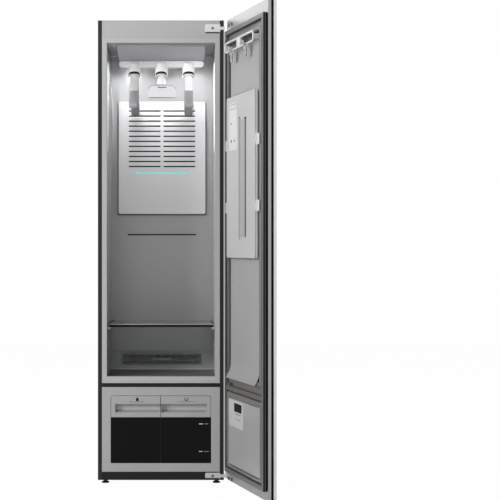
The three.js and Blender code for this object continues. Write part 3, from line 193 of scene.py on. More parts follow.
def surface_grain():
    """Grain of a coat or a moulding: a fine height, a slow drift of tone and a few faint smudges."""
    group, given, gives = shader_group(
        "surface grain",
        [("Fine", 900.0), ("Slow", 3.0), ("Stretch", (1.0, 1.0, 1.0))],
        [("Height", "NodeSocketFloat"), ("Drift", "NodeSocketFloat"), ("Smudge", "NodeSocketFloat")])
    place = group.nodes.new("ShaderNodeTexCoord")
    drawn = group.nodes.new("ShaderNodeVectorMath")
    drawn.operation = "MULTIPLY"
    group.links.new(place.outputs["Object"], drawn.inputs[0])
    group.links.new(given.outputs["Stretch"], drawn.inputs[1])
    fine = group.nodes.new("ShaderNodeTexNoise")
    fine.inputs["Detail"].default_value = 2
    group.links.new(drawn.outputs[0], fine.inputs["Vector"])
    group.links.new(given.outputs["Fine"], fine.inputs["Scale"])
    slow = group.nodes.new("ShaderNodeTexNoise")
    slow.inputs["Detail"].default_value = 4
    slow.inputs["Roughness"].default_value = 0.6
    group.links.new(place.outputs["Object"], slow.inputs["Vector"])
    group.links.new(given.outputs["Slow"], slow.inputs["Scale"])
    blot = group.nodes.new("ShaderNodeTexNoise")
    blot.inputs["Scale"].default_value = 14
    blot.inputs["Detail"].default_value = 5
    blot.inputs["Distortion"].default_value = 0.8
    group.links.new(place.outputs["Object"], blot.inputs["Vector"])
    few = group.nodes.new("ShaderNodeMapRange")
    few.inputs["From Min"].default_value = 0.58
    few.inputs["From Max"].default_value = 0.78
    group.links.new(blot.outputs[0], few.inputs["Value"])
    group.links.new(fine.outputs[0], gives.inputs["Height"])
    group.links.new(slow.outputs[0], gives.inputs["Drift"])
    group.links.new(few.outputs[0], gives.inputs["Smudge"])
    return group


def soft_edges():
    """The small round on every edge, and a mask of where that edge is rubbed."""
    group, given, gives = shader_group(
        "soft edges", [("Radius", 0.0008), ("Rubbed", 0.4)],
        [("Normal", "NodeSocketVector"), ("Edge", "NodeSocketFloat")])
    bevel = group.nodes.new("ShaderNodeBevel")
    bevel.samples = 4
    group.links.new(given.outputs["Radius"], bevel.inputs["Radius"])
    face = group.nodes.new("ShaderNodeNewGeometry")
    turn = group.nodes.new("ShaderNodeVectorMath")
    turn.operation = "DOT_PRODUCT"
    group.links.new(bevel.outputs[0], turn.inputs[0])
    group.links.new(face.outputs["Normal"], turn.inputs[1])
    near = group.nodes.new("ShaderNodeMapRange")
    near.inputs["From Min"].default_value = 0.995
    near.inputs["From Max"].default_value = 0.86
    group.links.new(turn.outputs["Value"], near.inputs["Value"])
    place = group.nodes.new("ShaderNodeTexCoord")
    patch = group.nodes.new("ShaderNodeTexNoise")
    patch.inputs["Scale"].default_value = 60
    patch.inputs["Detail"].default_value = 4
    group.links.new(place.outputs["Object"], patch.inputs["Vector"])
    broken = group.nodes.new("ShaderNodeMapRange")
    broken.inputs["From Min"].default_value = 0.35
    broken.inputs["From Max"].default_value = 0.6
    group.links.new(patch.outputs[0], broken.inputs["Value"])
    worn = group.nodes.new("ShaderNodeMath")
    worn.operation = "MULTIPLY"
    group.links.new(near.outputs[0], worn.inputs[0])
    group.links.new(broken.outputs[0], worn.inputs[1])
    mask = group.nodes.new("ShaderNodeMath")
    mask.operation = "MULTIPLY"
    group.links.new(worn.outputs[0], mask.inputs[0])
    group.links.new(given.outputs["Rubbed"], mask.inputs[1])
    group.links.new(bevel.outputs[0], gives.inputs["Normal"])
    group.links.new(mask.outputs[0], gives.inputs["Edge"])
    return group


grain_group = surface_grain()
edge_group = soft_edges()


def coat(name, colour, shade, edge, gloss, grain=900.0, height=0.02, radius=0.0008, rubbed=0.4,
         metallic=0.0, specular=0.5, clear=0.0, stretch=(1, 1, 1), slow=3.0):
    """A paint, plastic or plated finish. gloss is its roughness where clean and where smudged."""
    made = bpy.data.materials.new(name)
    made.use_nodes = True
    tree = made.node_tree
    skin = tree.nodes["Principled BSDF"]
    skin.inputs["Metallic"].default_value = metallic
    skin.inputs["Specular IOR Level"].default_value = specular
    skin.inputs["Coat Weight"].default_value = clear
    skin.inputs["Coat Roughness"].default_value = 0.12
    marks = tree.nodes.new("ShaderNodeGroup")
    marks.node_tree = grain_group
    marks.inputs["Fine"].default_value = grain
    marks.inputs["Slow"].default_value = slow
    marks.inputs["Stretch"].default_value = stretch
    rim = tree.nodes.new("ShaderNodeGroup")
    rim.node_tree = edge_group
    rim.inputs["Radius"].default_value = radius
    rim.inputs["Rubbed"].default_value = rubbed
    tone = tree.nodes.new("ShaderNodeMix")
    tone.data_type = "RGBA"
    tone.inputs["A"].default_value = (*colour, 1)
    tone.inputs["B"].default_value = (*shade, 1)
    tree.links.new(marks.outputs["Drift"], tone.inputs["Factor"])
    rubbed_tone = tree.nodes.new("ShaderNodeMix")
    rubbed_tone.data_type = "RGBA"
    rubbed_tone.inputs["B"].default_value = (*edge, 1)
    tree.links.new(rim.outputs["Edge"], rubbed_tone.inputs["Factor"])
    tree.links.new(tone.outputs["Result"], rubbed_tone.inputs["A"])
    tree.links.new(rubbed_tone.outputs["Result"], skin.inputs["Base Color"])
    dull = tree.nodes.new("ShaderNodeMapRange")
    dull.inputs["To Min"].default_value = gloss[0]
    dull.inputs["To Max"].default_value = gloss[1]
    tree.links.new(marks.outputs["Smudge"], dull.inputs["Value"])
    tree.links.new(dull.outputs[0], skin.inputs["Roughness"])
    peel = tree.nodes.new("ShaderNodeBump")
    peel.inputs["Strength"].default_value = 0.5
    peel.inputs["Distance"].default_value = height / 1000
    tree.links.new(marks.outputs["Height"], peel.inputs["Height"])
    tree.links.new(rim.outputs["Normal"], peel.inputs["Normal"])
    tree.links.new(peel.outputs[0], skin.inputs["Normal"])
    return made


def dress(finish, *names):
    """Gives CAD nodes their finish."""
    for name in names:
        nodes[name].data.materials.clear()
        nodes[name].data.materials.append(finish)


casing_coat = coat("dark casing coat", (0.01, 0.01, 0.011), (0.015, 0.015, 0.016), (0.07, 0.07, 0.07),
                   (0.44, 0.49), rubbed=0.5, specular=0.2)
dress(casing_coat, "side_panel_left", "side_panel_right", "top_cover")
# A darker copy of the coat for the cross rail, plinth and base tray: painted shade where they sit
# between and under the other pieces.
shaded_rail_coat = coat("shaded casing coat", (0.007, 0.007, 0.008), (0.011, 0.011, 0.012), (0.05, 0.05, 0.05),
                 (0.5, 0.6), rubbed=0.3, specular=0.15)
dress(shaded_rail_coat, "cross_rail", "plinth", "base_tray")


# Casing screws: plated pan heads with a cross recess hold the rear cover, the top and the flanges.
# Each head is one small mesh, set by Geometry Nodes on every point, square to its facing.
def kept(name, mesh, body, finish=None):
    """A finished piece: linked, riding on its body, with its finish."""
    if finish:
        mesh.materials.clear()
        mesh.materials.append(finish)
    made = bpy.data.objects.new(name, mesh)
    scene.collection.objects.link(made)
    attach(made, body)
    return made


def geometry_tree(name, inputs):
    tree = bpy.data.node_groups.new(name, "GeometryNodeTree")
    tree.interface.new_socket("Start", in_out="INPUT", socket_type="NodeSocketGeometry")
    for label, kind, value in inputs:
        socket = tree.interface.new_socket(label, in_out="INPUT", socket_type=kind)
        if value is not None:
            socket.default_value = value
    tree.interface.new_socket("Geometry", in_out="OUTPUT", socket_type="NodeSocketGeometry")
    return tree, tree.nodes.new("NodeGroupInput"), tree.nodes.new("NodeGroupOutput")


def grown(name, start, tree, values, body):
    """Runs a geometry tree on a mesh and keeps the plain result as a piece."""
    source = bpy.data.objects.new(name + "_start", start)
    scene.collection.objects.link(source)
    work = source.modifiers.new("shape", "NODES")
    work.node_group = tree
    for socket in tree.interface.items_tree:
        if socket.item_type == "SOCKET" and socket.in_out == "INPUT" and socket.name in values:
            work[socket.identifier] = values[socket.name]
    mesh = bpy.data.meshes.new_from_object(
        source.evaluated_get(bpy.context.evaluated_depsgraph_get()))
    bpy.data.objects.remove(source)
    return kept(name, mesh, body, None)


def screw_tree():
    tree, given, gives = geometry_tree("pan head screws", [
        ("Head Radius", "NodeSocketFloat", 0.0035), ("Head Height", "NodeSocketFloat", 0.0018),
        ("Finish", "NodeSocketMaterial", None)])
    head = tree.nodes.new("GeometryNodeMeshCylinder")
    head.inputs["Vertices"].default_value = 14
    tree.links.new(given.outputs["Head Radius"], head.inputs["Radius"])
    tree.links.new(given.outputs["Head Height"], head.inputs["Depth"])
    long = tree.nodes.new("ShaderNodeMath")
    long.operation = "MULTIPLY"
    long.inputs[1].default_value = 1.1
    thin = tree.nodes.new("ShaderNodeMath")
    thin.operation = "MULTIPLY"
    thin.inputs[1].default_value = 0.26
    for node in (long, thin):
        tree.links.new(given.outputs["Head Radius"], node.inputs[0])
    cross = tree.nodes.new("GeometryNodeMeshBoolean")
    cross.operation = "DIFFERENCE"
    tree.links.new(head.outputs["Mesh"], cross.inputs["Mesh 1"])
    lift = tree.nodes.new("ShaderNodeCombineXYZ")
    tree.links.new(given.outputs["Head Height"], lift.inputs["Z"])
    for order in (("long", "thin"), ("thin", "long")):
        size = tree.nodes.new("ShaderNodeCombineXYZ")
        for axis, which in zip("XY", order):
            tree.links.new((long if which == "long" else thin).outputs[0], size.inputs[axis])
        tree.links.new(given.outputs["Head Height"], size.inputs["Z"])
        bar = tree.nodes.new("GeometryNodeMeshCube")
        tree.links.new(size.outputs[0], bar.inputs["Size"])
        raised = tree.nodes.new("GeometryNodeTransform")
        tree.links.new(bar.outputs["Mesh"], raised.inputs["Geometry"])
        tree.links.new(lift.outputs[0], raised.inputs["Translation"])
        tree.links.new(raised.outputs[0], cross.inputs["Mesh 2"])
    facing = tree.nodes.new("GeometryNodeInputNamedAttribute")
    facing.data_type = "FLOAT_VECTOR"
    facing.inputs["Name"].default_value = "facing"
    turn = tree.nodes.new("FunctionNodeAlignRotationToVector")
    turn.axis = "Z"
    tree.links.new(facing.outputs["Attribute"], turn.inputs["Vector"])
    points = tree.nodes.new("GeometryNodeMeshToPoints")
    tree.links.new(given.outputs["Start"], points.inputs["Mesh"])
    placed = tree.nodes.new("GeometryNodeInstanceOnPoints")
    tree.links.new(points.outputs[0], placed.inputs["Points"])
    tree.links.new(cross.outputs["Mesh"], placed.inputs["Instance"])
    tree.links.new(turn.outputs[0], placed.inputs["Rotation"])
    real = tree.nodes.new("GeometryNodeRealizeInstances")
    tree.links.new(placed.outputs[0], real.inputs[0])
    coated = tree.nodes.new("GeometryNodeSetMaterial")
    tree.links.new(real.outputs[0], coated.inputs["Geometry"])
    tree.links.new(given.outputs["Finish"], coated.inputs["Material"])
    tree.links.new(coated.outputs[0], gives.inputs[0])
    return tree


def points_mesh(name, places, facings):
    mesh = bpy.data.meshes.new(name)
    mesh.from_pydata(places, [], [])
    facing = mesh.attributes.new("facing", "FLOAT_VECTOR", "POINT")
    for item, value in zip(facing.data, facings):
        item.vector = value
    return mesh


screw_nodes = screw_tree()
plated = coat("plated screw", (0.55, 0.55, 0.56), (0.66, 0.66, 0.67), (0.85, 0.85, 0.85),
              (0.28, 0.45), grain=900.0, height=0.008, radius=0.0003, metallic=1.0)


def screws(name, places, facing, body, radius=0.0035, finish=plated, height=0.0018):
    facings = facing if isinstance(facing, list) else [facing] * len(places)
    return grown(name, points_mesh(name, places, facings), screw_nodes,
                 {"Head Radius": radius, "Head Height": height, "Finish": finish}, body)


def spread(first, last, number):
    return [first + (last - first) * i / (number - 1) for i in range(number)]


flange_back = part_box("side_panel_left")[1].y
flange_middle = 0.2595
flange_screw_foot = 0.06
flange_screw_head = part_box("rear_cover")[1].z - 0.05
screws("flange_screws", [(side * flange_middle, flange_back, z) for side in (-1, 1)
                         for z in spread(flange_screw_foot, flange_screw_head, 9)],
       (0, 1, 0), "cabinet")
cover_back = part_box("top_cover")[1].y
cover_screw_reach, cover_screw_z = 0.2, 1.937
screws("cover_screws",
       [(x, cover_back, cover_screw_z) for x in spread(-cover_screw_reach, cover_screw_reach, 4)],
       (0, 1, 0), "cabinet")


# Feet: moulded rubber pads on threaded steel stems. Grip ribs round each pad let a hand turn it to
# level the cabinet.
def rib_tree():
    tree, given, gives = geometry_tree("ribs round a pad", [
        ("Count", "NodeSocketInt", 24), ("Radius", "NodeSocketFloat", 0.016),
        ("Width", "NodeSocketFloat", 0.0012), ("Height", "NodeSocketFloat", 0.004),
        ("Finish", "NodeSocketMaterial", None)])
    ring = tree.nodes.new("GeometryNodeMeshCircle")
    tree.links.new(given.outputs["Count"], ring.inputs["Vertices"])
    tree.links.new(given.outputs["Radius"], ring.inputs["Radius"])
    size = tree.nodes.new("ShaderNodeCombineXYZ")
    tree.links.new(given.outputs["Width"], size.inputs["X"])
    tree.links.new(given.outputs["Width"], size.inputs["Y"])
    tree.links.new(given.outputs["Height"], size.inputs["Z"])
    rib = tree.nodes.new("GeometryNodeMeshCube")
    tree.links.new(size.outputs[0], rib.inputs["Size"])
    outward = tree.nodes.new("GeometryNodeInputPosition")
    turn = tree.nodes.new("FunctionNodeAlignRotationToVector")
    turn.axis = "X"
    tree.links.new(outward.outputs[0], turn.inputs["Vector"])
    each = tree.nodes.new("GeometryNodeInstanceOnPoints")
    tree.links.new(ring.outputs[0], each.inputs["Points"])
    tree.links.new(rib.outputs["Mesh"], each.inputs["Instance"])
    tree.links.new(turn.outputs[0], each.inputs["Rotation"])
    pads = tree.nodes.new("GeometryNodeInstanceOnPoints")
    tree.links.new(given.outputs["Start"], pads.inputs["Points"])
    tree.links.new(each.outputs[0], pads.inputs["Instance"])
    real = tree.nodes.new("GeometryNodeRealizeInstances")
    tree.links.new(pads.outputs[0], real.inputs[0])
    coated = tree.nodes.new("GeometryNodeSetMaterial")
    tree.links.new(real.outputs[0], coated.inputs["Geometry"])
    tree.links.new(given.outputs["Finish"], coated.inputs["Material"])
    tree.links.new(coated.outputs[0], gives.inputs[0])
    return tree


def refined(node, finish, bevel=0.0008, segments=2, angle=32):
    """A CAD node with its flat faces merged, its sharp edges rounded and its turned faces smooth."""
    work = bmesh.new()
    work.from_mesh(nodes[node].data)
    bmesh.ops.remove_doubles(work, verts=work.verts, dist=2e-6)
    bmesh.ops.dissolve_limit(work, angle_limit=math.radians(1.0), verts=work.verts, edges=work.edges)
    bmesh.ops.triangulate(work, faces=[face for face in work.faces if len(face.verts) > 4])
    mesh = bpy.data.meshes.new(node + "_shape")
    work.to_mesh(mesh)
    work.free()
    mesh.shade_smooth()
    source = bpy.data.objects.new(node + "_work", mesh)
    scene.collection.objects.link(source)
    edge = source.modifiers.new("edges", "BEVEL")
    edge.width = bevel
    edge.segments = segments
    edge.limit_method = "ANGLE"
    edge.angle_limit = math.radians(angle)
    level = source.modifiers.new("flats", "WEIGHTED_NORMAL")
    level.weight = 90
    mesh = bpy.data.meshes.new_from_object(
        source.evaluated_get(bpy.context.evaluated_depsgraph_get()))
    bpy.data.objects.remove(source)
    made = kept(node + "_finished", mesh, nodes[node]["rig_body"], finish)
    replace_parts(made, node)
    return made


soft_black = coat("rubber", (0.012, 0.012, 0.012), (0.02, 0.02, 0.02), (0.05, 0.05, 0.05),
                  (0.55, 0.75), grain=2200.0, height=0.03, radius=0.001)
rib_nodes = rib_tree()
rib_middle, rib_sunk = 0.0022, 0.0002
for corner in ("front_left", "front_right", "rear_left", "rear_right"):
    refined(f"foot_{corner}", soft_black, bevel=0.0006)
    low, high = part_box(f"foot_{corner}")
    spot = bpy.data.meshes.new("pad")
    spot.from_pydata([((low.x + high.x) / 2, (low.y + high.y) / 2, low.z + rib_middle)], [], [])
    grown(f"foot_ribs_{corner}", spot, rib_nodes,
          {"Count": 28, "Radius": (high.x - low.x) / 2 - rib_sunk, "Width": 0.0011, "Height": 0.003,
           "Finish": soft_black}, f"foot_{corner}")

# Front: header, bezel and lower fascia are pale grey satin mouldings between the dark flanges.
# The bezel's coat is a shade paler than that of the header and the fascia.
front_coat = coat("front grey", (0.29, 0.29, 0.294), (0.33, 0.33, 0.332), (0.48, 0.48, 0.48),
                  (0.34, 0.44), grain=1400.0, height=0.012, rubbed=0.3)
dress(front_coat, "header_panel", "lower_fascia")
bezel_coat = coat("bezel grey", (0.32, 0.32, 0.324), (0.36, 0.36, 0.362), (0.48, 0.48, 0.48),
                  (0.32, 0.42), grain=1400.0, height=0.012, rubbed=0.3)
dress(bezel_coat, "front_bezel")


def block_mesh(*spans):
    """One mesh of plain blocks, each given as its ranges along X, Y and Z."""
    work = bmesh.new()
    for (x0, x1), (y0, y1), (z0, z1) in spans:
        corner = [work.verts.new((x, y, z)) for x in (x0, x1) for y in (y0, y1) for z in (z0, z1)]
        for face in ((0, 1, 3, 2), (4, 6, 7, 5), (0, 4, 5, 1), (2, 3, 7, 6),
                     (0, 2, 6, 4), (1, 5, 7, 3)):
            work.faces.new([corner[i] for i in face])
    mesh = bpy.data.meshes.new("blocks")
    work.to_mesh(mesh)
    work.free()
    return mesh


def rounded_blocks(name, body, finish, spans, bevel=0.0005, segments=2, place=None):
    """Blocks with their edges rounded, finished as one piece."""
    mesh = block_mesh(*spans)
    mesh.shade_smooth()
    if place:
        mesh.transform(place)
    source = bpy.data.objects.new(name + "_work", mesh)
    scene.collection.objects.link(source)
    edge = source.modifiers.new("edges", "BEVEL")
    edge.width = bevel
    edge.segments = segments
    source.modifiers.new("flats", "WEIGHTED_NORMAL").weight = 90
    mesh = bpy.data.meshes.new_from_object(
        source.evaluated_get(bpy.context.evaluated_depsgraph_get()))
    bpy.data.objects.remove(source)
    return kept(name, mesh, body, finish)


# Front trims: a grey strip covers the top cover's fold, and a paler one the seam over the bezel.
# A third one lies along the sill, on the bezel's lower rail.
trim_x = (-0.2492, 0.2492)
header_strip_y, header_strip_z = (-0.2806, -0.2801), (1.9375, 1.9438)
bezel_strip_y, seam_strip_z = (-0.2802, -0.28003), (1.8515, 1.8675)
sill_strip_x, sill_strip_z = (-0.2312, 0.2312), (0.4225, 0.4345)
rounded_blocks("header_strip", "cabinet", front_coat,
               [(trim_x, header_strip_y, header_strip_z)], bevel=0.0002)
rounded_blocks("seam_strip", "cabinet", bezel_coat,
               [(trim_x, bezel_strip_y, seam_strip_z)], bevel=0.00004)
sill_coat = coat("sill grey", (0.35, 0.35, 0.354), (0.38, 0.38, 0.382), (0.5, 0.5, 0.5),
                 (0.3, 0.4), grain=1400.0, height=0.012)
rounded_blocks("sill_strip", "cabinet", sill_coat,
               [(sill_strip_x, bezel_strip_y, sill_strip_z)], bevel=0.00004)


# Hinges: plated steel, each a screwed plate with an arm round the corner and a fixed pin.
# A black strip over the lower edge of each plate is painted shadow under the plate.
bright_metal = coat("bright plated steel", (0.4, 0.4, 0.404), (0.46, 0.46, 0.464), (0.7, 0.7, 0.7),
                    (0.36, 0.46), grain=500.0, height=0.003, radius=0.0006, metallic=0.6,
                    stretch=(0.05, 1, 1))
for end in ("top", "bottom"):
    refined(f"hinge_{end}", bright_metal, bevel=0.0007)
    refined(f"door_strap_{end}", bright_metal, bevel=0.0005)
hinge_face = -0.28 - 0.0003 - 0.0036
hinge_screw_x, hinge_screw_radius = 0.219, 0.0056
hinge_middle = {"top": 1.9105, "bottom": 0.018}
hinge_shade_x = (0.188, 0.2485)
hinge_shade_y = (hinge_face - 0.0008, -0.2804)
hinge_shade_inset, hinge_shade_high = 0.0002, 0.0048
for end, z in hinge_middle.items():
    screws(f"hinge_screw_{end}", [(hinge_screw_x, hinge_face, z)], (0, -1, 0), "cabinet",
           hinge_screw_radius, soft_black)
    plate_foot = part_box(f"hinge_{end}")[0].z
    # The black strip on each plate's lower edge is painted shadow.
    rounded_blocks(f"hinge_pad_{end}", "cabinet", soft_black,
                   [(hinge_shade_x, hinge_shade_y, (plate_foot + hinge_shade_inset, plate_foot + hinge_shade_high))], bevel=0.0004)

# Cavity lining: coated steel sheet, a pale wrap over a floor whose darker coat is painted shade. A
# long lamp lens is let into each side wall near the mouth, and lights the cavity from its upper part.
lining_coat = coat("lining coat", (0.35, 0.35, 0.354), (0.39, 0.39, 0.392), (0.5, 0.5, 0.5),
                   (0.3, 0.4), grain=700.0, height=0.014, rubbed=0.25)
dress(lining_coat, "liner_wrap")
# The floor's darker coat is painted shade.
floor_shade_coat = coat("floor coat with painted shade", (0.09, 0.09, 0.092), (0.12, 0.12, 0.122), (0.25, 0.25, 0.25),
                  (0.4, 0.5), grain=700.0, height=0.014, rubbed=0.25)
dress(floor_shade_coat, "liner_floor")


def glow(name, colour, dim, strength, spill, fade=None):
    """A lit diffuser with the mottle of a moulded lens: its strength to the eye, and on the walls.
    A fade gives the height where it is weakest, the height where it is full, and the least share."""
    made = bpy.data.materials.new(name)
    made.use_nodes = True
    tree = made.node_tree
    skin = tree.nodes["Principled BSDF"]
    path = tree.nodes.new("ShaderNodeLightPath")
    power = tree.nodes.new("ShaderNodeMapRange")
    power.inputs["To Min"].default_value = spill
    power.inputs["To Max"].default_value = strength
    tree.links.new(path.outputs["Is Camera Ray"], power.inputs["Value"])
    strong = power.outputs[0]
    if fade:
        spot = tree.nodes.new("ShaderNodeTexCoord")
        axes = tree.nodes.new("ShaderNodeSeparateXYZ")
        tree.links.new(spot.outputs["Object"], axes.inputs[0])
        share = tree.nodes.new("ShaderNodeMapRange")
        share.inputs["From Min"].default_value = fade[0]
        share.inputs["From Max"].default_value = fade[1]
        share.inputs["To Min"].default_value = fade[2]
        tree.links.new(axes.outputs["Z"], share.inputs["Value"])
        product = tree.nodes.new("ShaderNodeMath")
        product.operation = "MULTIPLY"
        tree.links.new(strong, product.inputs[0])
        tree.links.new(share.outputs[0], product.inputs[1])
        strong = product.outputs[0]
    tree.links.new(strong, skin.inputs["Emission Strength"])
    marks = tree.nodes.new("ShaderNodeGroup")
    marks.node_tree = grain_group
    marks.inputs["Slow"].default_value = 25
    tone = tree.nodes.new("ShaderNodeMix")
    tone.data_type = "RGBA"
    tone.inputs["A"].default_value = (*colour, 1)
    tone.inputs["B"].default_value = (*dim, 1)
    tree.links.new(marks.outputs["Drift"], tone.inputs["Factor"])
    tree.links.new(tone.outputs["Result"], skin.inputs["Base Color"])
    tree.links.new(tone.outputs["Result"], skin.inputs["Emission Color"])
    dull = tree.nodes.new("ShaderNodeMapRange")
    dull.inputs["To Min"].default_value = 0.25
    dull.inputs["To Max"].default_value = 0.4
    tree.links.new(marks.outputs["Smudge"], dull.inputs["Value"])
    tree.links.new(dull.outputs[0], skin.inputs["Roughness"])
    return made


def capsule(outline_width, outline_height, thick, crown, steps=10):
    """A bar with round ends, flat behind and crowned in front: across X, up Z, out of -Y."""
    work = bmesh.new()
    rings = []
    for inset, out in ((0, 0), (0, thick), (crown * 0.35, thick + crown * 0.35),
                       (crown, thick + crown * 0.6)):
        radius = outline_width / 2 - inset
        straight = outline_height / 2 - outline_width / 2
        ring = []
        for end in (1, -1):
            for i in range(steps + 1):
                a = math.pi * i / steps
                ring.append(work.verts.new((
                    end * radius * math.cos(a), -out, end * (straight + radius * math.sin(a)))))
        rings.append(ring)
    number = len(rings[0])
    for below, above in zip(rings, rings[1:]):
        for i in range(number):
            work.faces.new((below[i], below[(i + 1) % number], above[(i + 1) % number], above[i]))
    work.faces.new(rings[0])
    work.faces.new(rings[-1])
    bmesh.ops.recalc_face_normals(work, faces=work.faces)
    mesh = bpy.data.meshes.new("bar")
    work.to_mesh(mesh)
    work.free()
    mesh.shade_smooth()
    mesh.set_sharp_from_angle(angle=math.radians(40))
    return mesh


lens_glow = glow("lamp lens", (1.0, 1.0, 1.0), (0.86, 0.88, 0.9), strength=0.7, spill=9.0,
                 fade=(1.39, 1.73, 0.1))
bezel_grey = coat("lens bezel", (0.5, 0.5, 0.505), (0.56, 0.56, 0.56), (0.7, 0.7, 0.7), (0.3, 0.4))
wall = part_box("liner_wrap")[1].x - 0.0025
lens_foot, lens_head, lens_y = 1.396, 1.772, -0.2
lens_middle = (lens_foot + lens_head) / 2
for side, name in ((-1, "left"), (1, "right")):
    # the flat back of the bar meets the wall, and its crown faces across the cavity
    facing = Matrix.Translation((side * wall, lens_y, lens_middle)) @ Matrix.Rotation(
        -side * math.radians(90), 4, "Z")
    surround = capsule(outline_width=0.042, outline_height=0.396, thick=0.0012, crown=0.0006)
    surround.transform(facing)
    kept(f"lamp_surround_{name}", surround, "cabinet", bezel_grey)
    lens = capsule(outline_width=0.034, outline_height=0.386, thick=0.0022, crown=0.0016)
    lens.transform(facing)
    kept(f"lamp_lens_{name}", lens, "cabinet", lens_glow)

# Lining screws: small screws under white caps hold the wrap to the casing, in two rows on each
# side wall.
capped = coat("white cap", (0.7, 0.7, 0.7), (0.76, 0.76, 0.76), (0.9, 0.9, 0.9), (0.3, 0.4))
lining_screw_y = (-0.15, 0.08)
lining_screw_z = (0.56, 0.95, 1.30)
screws("lining_screws",
       [(side * wall, y, z) for side in (-1, 1) for y in lining_screw_y for z in lining_screw_z],
       [(-side, 0, 0) for side in (-1, 1) for y in lining_screw_y for z in lining_screw_z],
       "cabinet", radius=0.004, finish=capped, height=0.0016)

# Intake: the sloped moulding at the foot of the rear wall, with the lint filter let into it.
# The filter is a frame with ribs, a grip in its middle and a fine net welded over its back.
intake_coat = coat("intake grey", (0.36, 0.36, 0.365), (0.4, 0.4, 0.402), (0.4, 0.4, 0.4),
                   (0.28, 0.4), grain=1200.0, height=0.012)
refined("intake_housing", intake_coat, bevel=0.003, segments=3)
filter_coat = coat("filter frame grey", (0.33, 0.33, 0.335), (0.37, 0.37, 0.372), (0.55, 0.55, 0.55),
                   (0.22, 0.34), grain=1200.0, height=0.01, clear=0.2)
refined("filter_cassette", filter_coat, bevel=0.001)


def net_tree():
    tree, given, gives = geometry_tree("woven net", [
        ("Across", "NodeSocketInt", 120), ("Up", "NodeSocketInt", 30),
        ("Width", "NodeSocketFloat", 0.36), ("Height", "NodeSocketFloat", 0.06),
        ("Thread", "NodeSocketFloat", 0.0003), ("Finish", "NodeSocketMaterial", None)])
    joined = tree.nodes.new("GeometryNodeJoinGeometry")
    for count_name, run, length in (("Across", "X", "Height"), ("Up", "Y", "Width")):
        half = tree.nodes.new("ShaderNodeMath")
        half.operation = "MULTIPLY"
        half.inputs[1].default_value = 0.5
        tree.links.new(given.outputs["Width" if run == "X" else "Height"], half.inputs[0])
        minus = tree.nodes.new("ShaderNodeMath")
        minus.operation = "MULTIPLY"
        minus.inputs[1].default_value = -1
        tree.links.new(half.outputs[0], minus.inputs[0])
        first = tree.nodes.new("ShaderNodeCombineXYZ")
        last = tree.nodes.new("ShaderNodeCombineXYZ")
        tree.links.new(minus.outputs[0], first.inputs[run])
        tree.links.new(half.outputs[0], last.inputs[run])
        line = tree.nodes.new("GeometryNodeMeshLine")
        line.mode = "END_POINTS"
        tree.links.new(given.outputs[count_name], line.inputs["Count"])
        tree.links.new(first.outputs[0], line.inputs["Start Location"])
        tree.links.new(last.outputs[0], line.inputs["Offset"])
        size = tree.nodes.new("ShaderNodeCombineXYZ")
        for axis in "XYZ":
            tree.links.new(given.outputs["Thread"], size.inputs[axis])
        tree.links.new(given.outputs[length], size.inputs["Y" if run == "X" else "X"])
        thread = tree.nodes.new("GeometryNodeMeshCube")
        tree.links.new(size.outputs[0], thread.inputs["Size"])
        each = tree.nodes.new("GeometryNodeInstanceOnPoints")
        tree.links.new(line.outputs[0], each.inputs["Points"])
        tree.links.new(thread.outputs["Mesh"], each.inputs["Instance"])
        tree.links.new(each.outputs[0], joined.inputs[0])
    real = tree.nodes.new("GeometryNodeRealizeInstances")
    tree.links.new(joined.outputs[0], real.inputs[0])
    coated = tree.nodes.new("GeometryNodeSetMaterial")
    tree.links.new(real.outputs[0], coated.inputs["Geometry"])
    tree.links.new(given.outputs["Finish"], coated.inputs["Material"])
    tree.links.new(coated.outputs[0], gives.inputs[0])
    return tree


net_black = coat("net thread", (0.16, 0.16, 0.163), (0.2, 0.2, 0.203), (0.2, 0.2, 0.2), (0.5, 0.6))
slope_top = Vector((0, 0.1267, 0.517))
slope_foot = Vector((0, 0.038, 0.4443))
down = (slope_foot - slope_top).normalized()
outward = Vector((0, down.z, -down.y))
net_depth = 0.0117
net_place = slope_top + down * ((slope_foot - slope_top).length / 2) - outward * net_depth
net_turn = Matrix((Vector((1, 0, 0)), -down, outward)).transposed().to_4x4()
net = grown("filter_net", bpy.data.meshes.new("net"), net_tree(),
            {"Across": 130, "Up": 24, "Width": 0.356, "Height": 0.067, "Thread": 0.0004,
             "Finish": net_black}, "filter")
net.data.transform(Matrix.Translation(net_place) @ net_turn)

# Ceiling and hanger bar: a moulded air duct that slopes down to a white bar with three sockets.
# A black arch in the mouth of each socket, round the neck of its hanger, is painted shade.
ceiling_coat = coat("ceiling moulding", (0.26, 0.26, 0.268), (0.3, 0.3, 0.306), (0.42, 0.42, 0.42),
                    (0.36, 0.46), grain=1500.0, height=0.012, rubbed=0.2)
refined("ceiling_panel", ceiling_coat, bevel=0.004, segments=3)
bar_white = coat("bar white", (0.7, 0.7, 0.705), (0.76, 0.76, 0.76), (0.88, 0.88, 0.88),
                 (0.2, 0.34), grain=1800.0, height=0.008, rubbed=0.2, clear=0.25)
white_gloss = coat("white gloss moulding", (0.82, 0.82, 0.825), (0.86, 0.86, 0.86), (0.88, 0.88, 0.88),
                   (0.2, 0.34), grain=1800.0, height=0.008, rubbed=0.2, clear=0.25)
refined("hanger_bar", bar_white, bevel=0.0015)
# Black arch in each socket's mouth: painted shade.
mouth_shade_black = coat("socket mouth shade", (0.002, 0.002, 0.002), (0.004, 0.004, 0.004),
                 (0.01, 0.01, 0.01), (0.8, 0.95), grain=2200.0, height=0.03, specular=0.04)
socket_y = -0.074
mouth_shade_proud, mouth_shade_rise, mouth_shade_bow, mouth_shade_steps = 0.0002, 0.0058, 0.0125, 24
mouth_shade_reach = math.radians(57)
mouth_shade_section = ((-0.0012, -0.0034), (0.0009, -0.0028), (0.0014, 0.0), (0.0009, 0.0028),
               (-0.0012, 0.0034))
